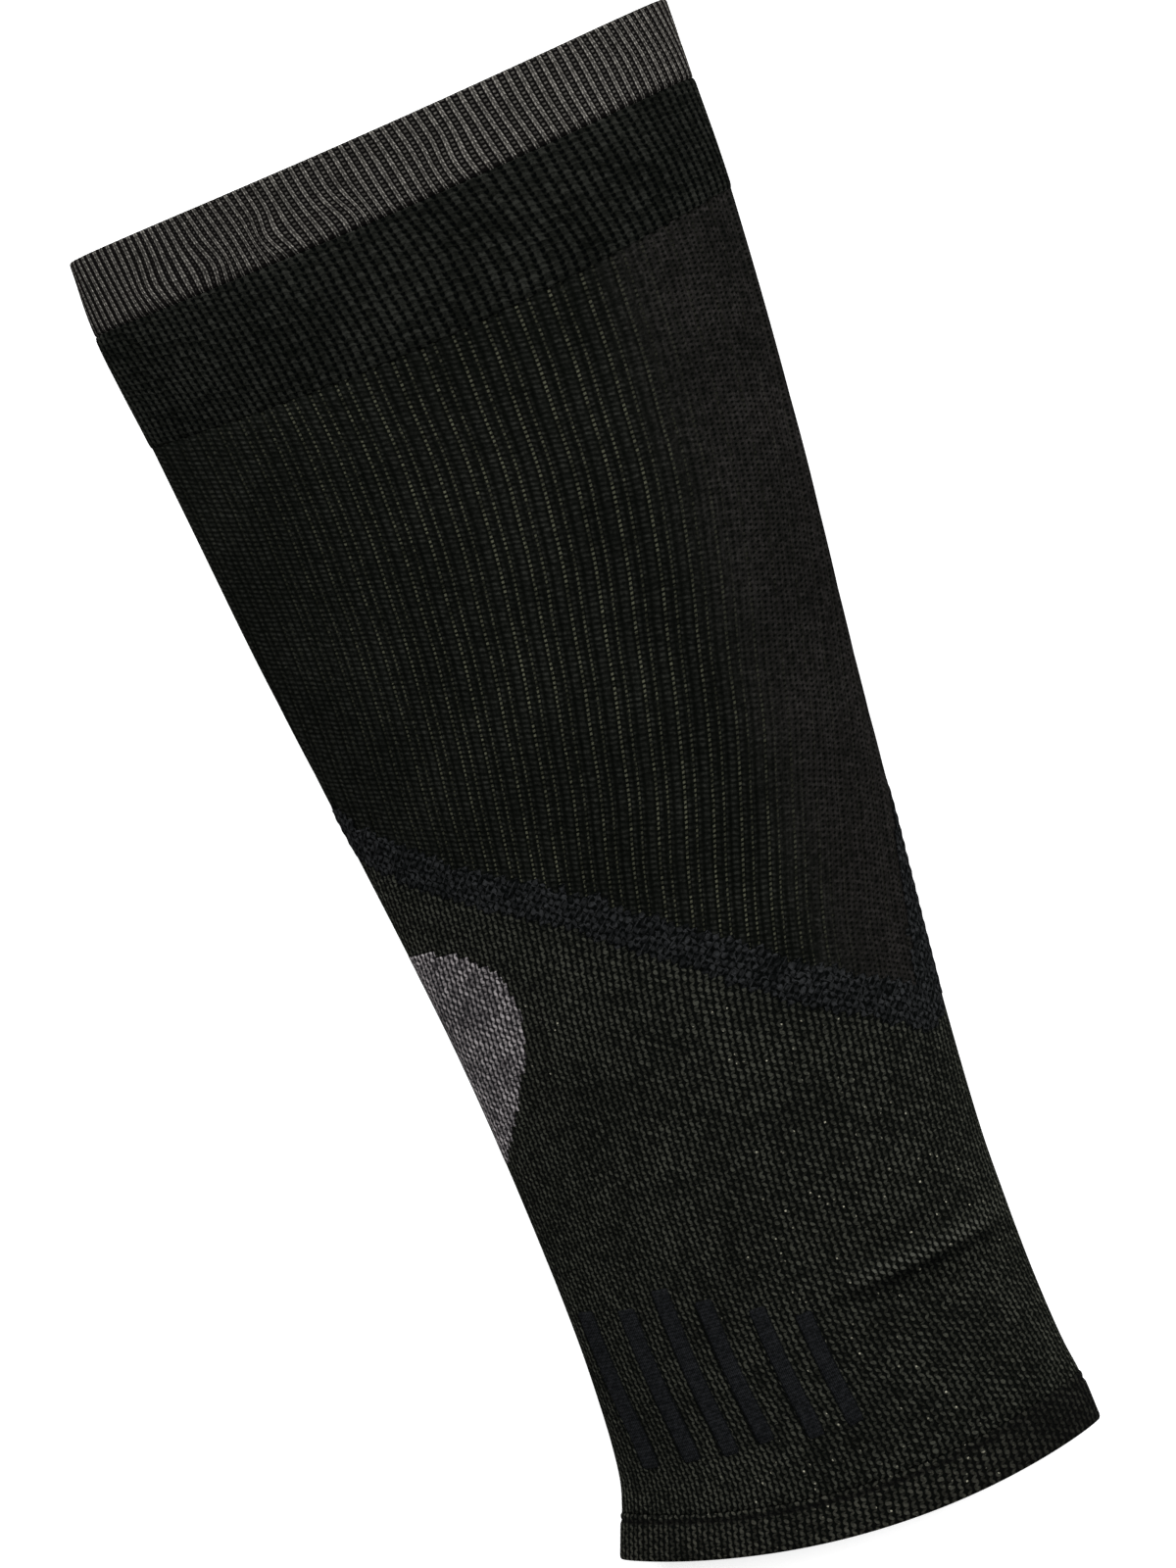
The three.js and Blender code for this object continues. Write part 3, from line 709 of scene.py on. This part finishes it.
def set_inputs(tree, node, values):
    """Links a node's inputs to these values, or sets them to plain numbers and colours."""
    for name, value in values.items():
        if isinstance(value, Value):
            tree.links.new(value.socket, node.inputs[name])
        else:
            node.inputs[name].default_value = value


class Value:
    """A socket of a node tree that can be calculated with."""

    def __init__(self, tree, socket):
        self.tree = tree
        self.socket = socket

    def maths(self, operation, *others):
        node = self.tree.nodes.new("ShaderNodeMath")
        node.operation = operation
        set_inputs(self.tree, node, dict(enumerate((self, *others))))
        return Value(self.tree, node.outputs[0])

    def __add__(self, other):
        return self.maths("ADD", other)

    def __sub__(self, other):
        return self.maths("SUBTRACT", other)

    def __mul__(self, other):
        return self.maths("MULTIPLY", other)

    def from_one(self):
        return (self * -1.0) + 1.0

    def part(self):
        return self.maths("FRACT")

    def whole(self):
        return self.maths("FLOOR")

    def size(self):
        return self.maths("ABSOLUTE")

    def square(self):
        return self * self

    def highest(self, other):
        return self.maths("MAXIMUM", other)

    def between(self, low, high):
        """0 below low and 1 above high, smooth in between."""
        node = self.tree.nodes.new("ShaderNodeMapRange")
        node.interpolation_type = "SMOOTHSTEP"
        set_inputs(self.tree, node, {"Value": self, "From Min": low, "From Max": high})
        return Value(self.tree, node.outputs["Result"])

    def near(self, middle, full, none):
        """1 within full of middle, 0 beyond none."""
        return (self - middle).size().between(full, none).from_one()


def new_group(name, inputs, outputs):
    """Node group with float sockets, and its inputs as values."""
    tree = bpy.data.node_groups.new(name, "ShaderNodeTree")
    for side, names in (("INPUT", inputs), ("OUTPUT", outputs)):
        for socket_name in names:
            tree.interface.new_socket(socket_name, in_out=side, socket_type="NodeSocketFloat")
    entry = tree.nodes.new("NodeGroupInput")
    values = [Value(tree, entry.outputs[socket_name]) for socket_name in inputs]
    return tree, values


def close_group(tree, outputs):
    """The finished node group, with these values at its outputs."""
    set_inputs(tree, tree.nodes.new("NodeGroupOutput"), outputs)
    return tree


def chance_group():
    """A number for each stitch, so that no two look quite alike."""
    tree, (column, course) = new_group("Stitch chance", ("Column", "Course"), ("Chance", "Second"))
    joined = tree.nodes.new("ShaderNodeCombineXYZ")
    set_inputs(tree, joined, {0: column.whole(), 1: course.whole()})
    noise = tree.nodes.new("ShaderNodeTexWhiteNoise")
    noise.noise_dimensions = "2D"
    tree.links.new(joined.outputs[0], noise.inputs["Vector"])
    parts = tree.nodes.new("ShaderNodeSeparateColor")
    tree.links.new(noise.outputs["Color"], parts.inputs[0])
    first, second = (Value(tree, parts.outputs[number]) for number in (0, 1))
    return close_group(tree, {"Chance": first, "Second": second})


def seed_group():
    """Birdseye: a slanting loop at every other course of a column, staggered from column to column."""
    tree, (column, course, across, up, slant) = new_group(
        "Birdseye stitch", ("Column", "Course", "Across", "Up", "Slant"), ("Dot", "Row of dot"))
    row = (course + column.whole()) * 0.5
    aside = column.part() - 0.5
    level = (row.part() - 0.5) * 2.0 + aside * slant
    dot = aside.maths("DIVIDE", across).square() + level.maths("DIVIDE", up).square()
    return close_group(tree, {"Dot": dot.between(0.35, 1.0).from_one(), "Row of dot": row})


def vee_group():
    """Plain knit: two slanting legs to each column."""
    tree, (column, course, slant) = new_group("Plain stitch", ("Column", "Course", "Slant"), ("Height",))
    aside = (column.part() - 0.5).size()
    turned = (course + aside * slant).part()
    leg = ((aside - 0.25) * 3.6).square().from_one().highest(0.0)
    strand = ((turned - 0.5) * 2.0).square().from_one()
    return close_group(tree, {"Height": leg * (strand * 0.7 + 0.3)})


def bars_group():
    """Ladder: short bars across a narrow strip."""
    tree, (place, course, middle, reach, pitch) = new_group(
        "Ladder stitch", ("Place", "Course", "Middle", "Reach", "Pitch"), ("Bar", "Groove"))
    aside = ((place - middle + 0.5).part() - 0.5).size().maths("DIVIDE", reach)
    level = course.maths("DIVIDE", pitch).part()
    bar = aside.between(0.55, 1.0).from_one() * level.near(0.5, 0.16, 0.38)
    groove = aside.between(1.0, 2.0).from_one()
    return close_group(tree, {"Bar": bar, "Groove": groove})


# Fine columns of the ankle and of the hem to each rib column
FINE_COLUMNS = 176 / RIB_COLUMNS
HEM_COLUMNS = 160 / RIB_COLUMNS

# Middles of the two ladders, as shares of a repeat of the calf
WIDE_LADDER = 0.08
NARROW_LADDER = 0.46

# Places of painted light, sheen and shade in the knit, as shares round the sleeve or along it
RIGHT_FOLD = 0.48
CREASE_AROUND = 0.385
CREASE_TOP = 0.1545
CREASE_FOOT = 0.1460
HEM_GROOVE = 0.0287

GROUPS = {
    "chance": chance_group(),
    "seed": seed_group(),
    "vee": vee_group(),
    "bars": bars_group(),
}


def srgb(*values):
    """Linear colour of 0 to 255 screen values."""
    shares = [value / 255 for value in values]
    return tuple(s / 12.92 if s < 0.04045 else ((s + 0.055) / 1.055) ** 2.4 for s in shares) + (1.0,)


# Yarns, the shade between their stitches, and painted light and shade: glints (the sparkles), light and
# shade on the crease, sheen at the calf's right fold, and shade in the calf's grooves, along the flex ribs'
# edges and in the hem
CUFF_YARN, CUFF_SHADE = srgb(132, 129, 123), srgb(9, 8, 8)
WELT_YARN, WELT_SHADE, WELT_HOLE = srgb(34, 35, 32), srgb(3, 4, 3), srgb(3, 4, 4)
CALF_YARN, CALF_SHADE, CALF_GROOVE_SHADE = srgb(35, 36, 33), srgb(4, 5, 4), srgb(3, 4, 3)
FOLD_SHEEN, LADDER_YARN = srgb(38, 36, 35), srgb(74, 75, 62)
ANKLE_YARN, ANKLE_SHADE, ANKLE_SPARKLE = srgb(53, 54, 48), srgb(7, 8, 7), srgb(150, 148, 132)
CREASE_LIGHT, CREASE_SHADE = srgb(84, 85, 78), srgb(7, 8, 8)
PATCH_YARN, PATCH_SHADE, PATCH_SPARKLE = srgb(140, 135, 136), srgb(24, 23, 25), srgb(180, 176, 174)
BAND_YARN, BAND_SHADE = srgb(39, 40, 41), srgb(5, 6, 6)
FLEX_RIB_YARN, FLEX_RIB_SHADE, FLEX_RIB_EDGE_SHADE = srgb(32, 33, 35), srgb(3, 4, 4), srgb(5, 6, 6)
HEM_YARN, HEM_SHADE = srgb(55, 55, 49), srgb(8, 8, 8)


YARN_ROUGHNESS = 0.8


class Finish:
    """One material while it is being built: its knit coordinates, yarn colours and height."""

    def __init__(self, name):
        self.material = bpy.data.materials.new(name)
        self.material.use_nodes = True
        self.tree = self.material.node_tree
        self.shader = self.tree.nodes["Principled BSDF"]
        self.column, self.course = self.coordinates("knit")
        self.around, self.along = self.coordinates("place")

    def coordinates(self, uv_name):
        node = self.tree.nodes.new("ShaderNodeUVMap")
        node.uv_map = uv_name
        parts = self.tree.nodes.new("ShaderNodeSeparateXYZ")
        self.tree.links.new(node.outputs[0], parts.inputs[0])
        return Value(self.tree, parts.outputs[0]), Value(self.tree, parts.outputs[1])

    def use(self, key, *outputs, **inputs):
        """A group's named outputs for these inputs; one name gives one value."""
        node = self.tree.nodes.new("ShaderNodeGroup")
        node.node_tree = GROUPS[key]
        set_inputs(self.tree, node, inputs)
        values = [Value(self.tree, node.outputs[name]) for name in outputs]
        return values if len(values) > 1 else values[0]

    def noise(self, scale, detail=2.0):
        """Soft noise over the object, about 0.5."""
        place = self.tree.nodes.new("ShaderNodeTexCoord")
        node = self.tree.nodes.new("ShaderNodeTexNoise")
        set_inputs(self.tree, node, {"Scale": scale, "Detail": detail})
        self.tree.links.new(place.outputs["Object"], node.inputs["Vector"])
        return Value(self.tree, node.outputs["Fac"])

    def mix(self, low, high, share):
        """Colour between two others by a value: the node's colours are inputs 6 and 7 and output 2."""
        node = self.tree.nodes.new("ShaderNodeMix")
        node.data_type = "RGBA"
        set_inputs(self.tree, node, {0: share, 6: low, 7: high})
        return Value(self.tree, node.outputs[2])

    def grain(self):
        """Unevenness of the yarn itself, 0.55 to 1.45."""
        return self.noise(1300.0, 2.0).between(0.3, 0.7) * 0.9 + 0.55

    def at_right_fold(self):
        """1 where the right fold turns the upper layer down."""
        return self.around.part().near(RIGHT_FOLD, 0.05, 0.14)

    def close(self, colour, height, depth):
        """Joins colour and stitch height, with the height's depth in metres."""
        bump = self.tree.nodes.new("ShaderNodeBump")
        set_inputs(self.tree, bump, {"Strength": 1.0, "Distance": depth, "Height": height})
        normal = Value(self.tree, bump.outputs[0])
        set_inputs(self.tree, self.shader, {"Base Color": colour, "Normal": normal})
        set_inputs(self.tree, self.shader, {"Roughness": YARN_ROUGHNESS, "Specular IOR Level": 0.0})
        return self.material


def cuff_finish():
    """Cuff: in each rib column two grey lines of slanting loops side by side, then a dark strip of rungs."""
    finish = Finish("Grey rib knit")
    sway = finish.noise(40.0, 1.0) - 0.5
    wide = finish.around.part().between(0.06, 0.18)
    place = ((finish.column + sway * 0.15).part() - 0.43) * (wide * 0.25 + 0.75) + 0.43
    course = finish.course * 0.76
    chance = finish.use("chance", "Chance", Column=finish.column * 2.0, Course=course)
    lines = place.near(0.30, 0.02, 0.10).highest(place.near(0.55, 0.02, 0.10))
    level = (course + (place - 0.43).size() * 2.4).part()
    dash = level.near(0.5, 0.16, 0.44)
    rungs = place.near(0.93, 0.09, 0.18).highest(place.near(-0.07, 0.09, 0.18))
    rungs = rungs * course.part().near(0.5, 0.12, 0.34)
    threads = (lines * (dash * 0.8 + 0.2)).highest(place.near(0.425, 0.08, 0.14) * 0.16)
    tips = finish.along.between(CUFF_BASE + 0.001, CUFF_BASE + 0.006)
    lit = threads.highest(rungs * (wide * 0.7 + 0.3) * 0.26) * (chance * 0.5 + 0.5)
    lit = lit * tips.highest(lines * 0.7)
    # Painted light: the cuff's yarn is drawn about a third brighter towards the right fold than at the left
    # fold.
    right = finish.around.part().between(0.05, 0.45) * 0.25 + 0.82
    colour = finish.mix(CUFF_SHADE, CUFF_YARN, lit * finish.grain() * right)
    return finish.close(colour, threads.highest(rungs * 0.5), 0.22 * MM)


def welt_finish():
    """Welt: stacks of small raised loops in black, with dark holes between the columns."""
    finish = Finish("Black rib knit")
    wander = finish.noise(220.0, 1.0) - 0.5
    column = finish.column + wander * 0.25
    aside = column.part() - 0.5
    level = finish.course + column.whole() * 0.3 + aside.square() * 2.4 + aside * 0.4 + wander * 1.8
    chance = finish.use("chance", "Chance", Column=column, Course=level * 0.625)
    loop = finish.use("bars", "Bar", Place=column, Course=level, Middle=0.5, Reach=0.46, Pitch=1.7)
    hole = finish.use("bars", "Bar", Place=column, Course=level + 0.8, Middle=0.0, Reach=0.26, Pitch=1.7)
    patchy = finish.noise(60.0, 3.0).between(0.3, 0.7)
    ridge = aside.size().between(0.18, 0.48).from_one()
    lit = ((loop + ridge) * 0.5 * (chance * 0.9 + 0.15) * 0.8 + 0.2) * (patchy * 0.5 + 0.6) * finish.grain()
    colour = finish.mix(WELT_SHADE, WELT_YARN, lit)
    return finish.close(finish.mix(colour, WELT_HOLE, hole), loop - hole, 0.2 * MM)


def calf_finish():
    """Calf: rib columns of small loops in black, with a wide and a narrow ladder in each repeat; painted
    sheen greys it at the right fold, and painted shade darkens its grooves.
    """
    finish = Finish("Black ladder knit")
    repeat = (finish.column * (CALF_REPEATS / RIB_COLUMNS)).part()
    wander = finish.noise(260.0, 1.0) - 0.5
    fold = finish.at_right_fold()
    column = finish.column * 1.4 + wander * 0.4
    course = finish.course * 1.3 + wander * 0.5
    seed, row = finish.use(
        "seed", "Dot", "Row of dot", Column=column, Course=course, Across=0.60, Up=1.00, Slant=0.1)
    hole = finish.use("seed", "Dot", Column=column, Course=course + 1.0, Across=0.30, Up=0.62, Slant=0.0)
    chance, second = finish.use("chance", "Chance", "Second", Column=column, Course=row)
    thread = (column.part() - 0.5).size().between(0.08, 0.32) * 0.35 + 0.65
    aside = finish.column.part() - 0.5
    ridge = aside.size().between(0.16, 0.48).from_one()
    level = finish.course * 0.625 + finish.column.whole() * 0.43 + aside * 0.5 + wander * 0.8
    arc = level.part().near(0.5, 0.10, 0.42) * (ridge * 0.7 + 0.3)
    loop = arc * fold.from_one() + (seed * 0.35 + 0.5) * thread * fold
    wide, wide_groove = finish.use(
        "bars", "Bar", "Groove",
        Place=repeat, Course=finish.course, Middle=WIDE_LADDER, Reach=0.06, Pitch=1.4)
    narrow, narrow_groove = finish.use(
        "bars", "Bar", "Groove",
        Place=repeat, Course=finish.course + 0.7, Middle=NARROW_LADDER, Reach=0.05, Pitch=1.4)
    turned = finish.around.part()
    showing = turned.between(0.02, 0.17) * turned.between(0.33, 0.42).from_one() * 0.9 + 0.1
    patchy = finish.noise(50.0, 3.0).between(0.3, 0.7)
    # Painted sheen: the calf's yarn turns greyer towards the right fold.
    strand = finish.mix(CALF_YARN, FOLD_SHEEN, fold)
    lit = (loop * (chance * 0.7 + 0.25) * 0.75 + 0.16) * (patchy * 0.35 + 0.7) * finish.grain()
    base = finish.mix(CALF_SHADE, strand, lit * (hole * (fold * -0.6 + -0.3) + 1.0))
    # Painted shade: dark lines between the rib columns away from the right fold, and dark strips beside the
    # ladders where they show.
    line = ridge.from_one() * fold.from_one() * 0.55
    groove = wide_groove.highest(narrow_groove) * showing * 0.6
    groove_shaded = finish.mix(base, CALF_GROOVE_SHADE, groove.highest(line))
    bars = wide.highest(narrow * 0.65) * showing * (second * 0.9 + 0.15) * (patchy * 0.5 + 0.6)
    colour = finish.mix(groove_shaded, LADDER_YARN, bars)
    return finish.close(colour, (loop * 0.7).highest(bars), 0.24 * MM)


def birdseye(finish, columns, shade, yarn, sparkle, sparkle_from, fullness=1.0):
    """Staggered loops, a few of them catching the light: colour and height."""
    wander = finish.noise(420.0, 1.0) - 0.5
    column = finish.column * columns + wander * 0.6
    course = finish.course * 0.86 + wander * 0.7
    dot, row = finish.use(
        "seed", "Dot", "Row of dot", Column=column, Course=course,
        Across=0.42 * fullness, Up=0.68 * fullness, Slant=0.8)
    cross = finish.use("seed", "Dot", Column=column, Course=course + 1.0, Across=0.42, Up=0.50, Slant=-0.9)
    chance, second = finish.use("chance", "Chance", "Second", Column=column, Course=row)
    patchy = finish.noise(60.0, 3.0).between(0.3, 0.7)
    strokes = (dot * (chance * 0.85 + 0.25)).highest(cross * (second * 0.7 + 0.1))
    lit = strokes * (patchy * 0.45 + 0.65) * finish.grain()
    colour = finish.mix(shade, yarn, lit)
    # Painted glints: a few loops, in clusters, take the sparkle colour.
    clusters = finish.noise(25.0, 1.0).between(0.48, 0.62)
    speck = finish.use("chance", "Second", Column=finish.column * 4.6, Course=finish.course * 2.1)
    return finish.mix(colour, sparkle, speck.between(sparkle_from, 1.0) * dot * clusters), dot


def ankle_finish():
    """Ankle: black birdseye, with painted light on top of the crease and painted shade at its foot."""
    finish = Finish("Black birdseye knit")
    colour, dot = birdseye(finish, FINE_COLUMNS, ANKLE_SHADE, ANKLE_YARN, ANKLE_SPARKLE, 0.990)
    # Painted light on the crease's top and painted shade at its foot, where it crosses the ankle.
    reach = finish.around.part().near(CREASE_AROUND, 0.05, 0.10)
    top = finish.along.near(CREASE_TOP, 0.0020, 0.0070) * reach
    foot = finish.along.near(CREASE_FOOT, 0.0018, 0.0060) * reach
    colour = finish.mix(colour, CREASE_LIGHT, top * dot * 0.45)
    colour = finish.mix(colour, CREASE_SHADE, foot * 0.5)
    return finish.close(colour, dot, 0.3 * MM)


def patch_finish():
    """Patch: grey birdseye."""
    finish = Finish("Grey birdseye knit")
    colour, dot = birdseye(
        finish, FINE_COLUMNS, PATCH_SHADE, PATCH_YARN, PATCH_SPARKLE, 0.99, fullness=1.12)
    return finish.close(colour, dot, 0.3 * MM)


def band_finish():
    """Band: navy tuck knit, birdseye with uneven threads that cross over it."""
    finish = Finish("Navy tuck knit")
    wander = finish.noise(420.0, 1.0) - 0.5
    column = finish.column * FINE_COLUMNS + wander
    course = finish.course * 0.86 + wander * 1.2
    rising = (column * 0.8 + course * 0.4).part()
    falling = (column * 0.8 - course * 0.4).part()
    chance, second = finish.use("chance", "Chance", "Second", Column=column, Course=course)
    threads = (rising.near(0.5, 0.02, 0.20) * chance).highest(falling.near(0.5, 0.02, 0.20) * second)
    seeds = finish.use("seed", "Dot", Column=column, Course=course, Across=0.47, Up=0.92, Slant=0.25)
    height = (threads * 0.8).highest(seeds * 0.7)
    lit = (threads * 0.9).highest(seeds * (chance * 0.8 + 0.1)) * finish.grain()
    colour = finish.mix(BAND_SHADE, BAND_YARN, lit)
    return finish.close(colour, height, 0.3 * MM)


def plain_finish():
    """Flex ribs: dense smooth navy knit, with painted shade along its edges."""
    finish = Finish("Navy plain knit")
    vee = finish.use("vee", "Height", Column=finish.column * 0.9, Course=finish.course, Slant=0.9)
    patchy = finish.noise(900.0, 2.0).between(0.3, 0.7)
    # Painted shade along both edges of the rib, where it rises from the knit under it.
    edge = finish.column.size().between(2.0, 2.7)
    lit = (vee * 0.7 + patchy * 0.1) * finish.grain()
    colour = finish.mix(FLEX_RIB_SHADE, FLEX_RIB_YARN, lit)
    colour = finish.mix(colour, FLEX_RIB_EDGE_SHADE, edge * 0.85)
    return finish.close(colour, vee, 0.1 * MM)


def hem_finish():
    """Hem: the ankle's birdseye, with painted shade in the stitched groove and towards the right fold."""
    finish = Finish("Black hem knit")
    colour, dot = birdseye(finish, HEM_COLUMNS, ANKLE_SHADE, HEM_YARN, ANKLE_SPARKLE, 0.986)
    # Painted shade in the stitched groove and towards the right fold.
    groove = finish.along.near(HEM_GROOVE, 0.0010, 0.0030)
    right = finish.around.part().between(0.30, 0.44)
    colour = finish.mix(colour, HEM_SHADE, (groove * 0.75).highest(right * 0.6))
    return finish.close(colour, dot, 0.2 * MM)


MATERIALS = {
    "grey_rib_knit": cuff_finish(),
    "black_rib_knit": welt_finish(),
    "black_ladder_knit": calf_finish(),
    "navy_tuck_knit": band_finish(),
    "black_birdseye_knit": ankle_finish(),
    "grey_birdseye_knit": patch_finish(),
    "black_hem_knit": hem_finish(),
    "navy_plain_knit": plain_finish(),
}


def dress(piece, nodes, slot):
    """Finish and owner of one zone, and hiding of the frame's parts that it stands for."""
    piece.data.materials.append(MATERIALS[slot])
    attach(piece, "root")
    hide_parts(*nodes)


def build_sleeve():
    calf, calf_area = build_calf()
    ankle, ankle_area = build_ankle()
    patch, patch_area = build_patch()
    band = build_band()
    ribs = []
    for side_of_fold in (1, -1):
        for rib in FLEX_RIBS:
            ribs.append(build_flex_rib(len(ribs) + 1, rib, side_of_fold))
    dress(build_cuff(), ["cuff_band"], "grey_rib_knit")
    dress(build_welt(), ["elastic_welt"], "black_rib_knit")
    dress(calf, ["calf_panel"], "black_ladder_knit")
    dress(band, ["support_band"], "navy_tuck_knit")
    for number, rib in enumerate(ribs, 1):
        dress(rib, [f"flex_rib_{number:02d}"], "navy_plain_knit")
    dress(ankle, ["ankle_panel"], "black_birdseye_knit")
    dress(patch, ["side_patch"], "grey_birdseye_knit")
    dress(build_hem(), ["ankle_hem"], "black_hem_knit")


# Floor, light and camera

WHITE = (1, 1, 1, 1)
FLOOR_GREY = (0.8, 0.8, 0.8, 1)

# The floor's breadth, its gap under the sleeve, and how much white the floor and the world add
FLOOR_SIZE = 4.0
FLOOR_GAP = 0.0002
FLOOR_GLOW = 0.55
WORLD_GLOW = 0.45

# Area lights that face the middle of the sleeve: name, place, width, height and power
LIGHTS = (
    ("overhead", (0.10, 0.25, 1.10), 0.9, 0.9, 7.2),
    ("raking", (-0.25, 0.75, 0.32), 0.4, 0.2, 6),
    ("right side", (0.85, -0.05, 0.35), 0.5, 0.3, 6),
)


def build_floor():
    bpy.ops.mesh.primitive_plane_add(size=FLOOR_SIZE, location=(0, 0, cad_box[0][2] - FLOOR_GAP))
    floor = bpy.context.object
    floor.name = "floor"
    material = bpy.data.materials.new("White floor")
    material.use_nodes = True
    tree = material.node_tree
    shader = tree.nodes["Principled BSDF"]
    set_inputs(tree, shader, {"Base Color": FLOOR_GREY, "Roughness": 1.0, "Specular IOR Level": 0.0})
    set_inputs(tree, shader, {"Emission Color": WHITE, "Emission Strength": FLOOR_GLOW})
    floor.data.materials.append(material)


def add_area_light(name, place, width, height, power):
    light = bpy.data.lights.new(name, "AREA")
    light.shape = "RECTANGLE"
    light.size = width
    light.size_y = height
    light.energy = power
    thing = bpy.data.objects.new(name, light)
    thing.location = place
    x, y, z = place
    thing.rotation_euler = (math.atan2(math.hypot(x, y), z), 0, math.atan2(x, -y))
    bpy.context.collection.objects.link(thing)


def set_world():
    world = bpy.data.worlds.new("White world")
    world.use_nodes = True
    tree = world.node_tree
    set_inputs(tree, tree.nodes["Background"], {"Color": WHITE, "Strength": WORLD_GLOW})
    bpy.context.scene.world = world


# The photo's view, straight down with the sleeve turned: VIEW_HEIGHT is the picture's height at VIEW_LEVEL
VIEW_TURN = math.radians(-19.7)
VIEW_HEIGHT = 0.3366
VIEW_DISTANCE = 1.6
VIEW_CENTRE = (-0.0027, 0.0090)
VIEW_LEVEL = 0.012
SENSOR = 36


def add_camera():
    camera = bpy.data.cameras.new("camera")
    camera.sensor_fit = "VERTICAL"
    camera.sensor_height = SENSOR
    camera.lens = SENSOR * VIEW_DISTANCE / VIEW_HEIGHT
    camera.clip_start = 0.05
    thing = bpy.data.objects.new("camera", camera)
    thing.location = (*VIEW_CENTRE, VIEW_LEVEL + VIEW_DISTANCE)
    thing.rotation_euler = (0, 0, VIEW_TURN)
    bpy.context.collection.objects.link(thing)
    bpy.context.scene.camera = thing


build_sleeve()
build_floor()
set_world()
for light_row in LIGHTS:
    add_area_light(*light_row)
add_camera()
bpy.context.scene.view_settings.view_transform = "Standard"
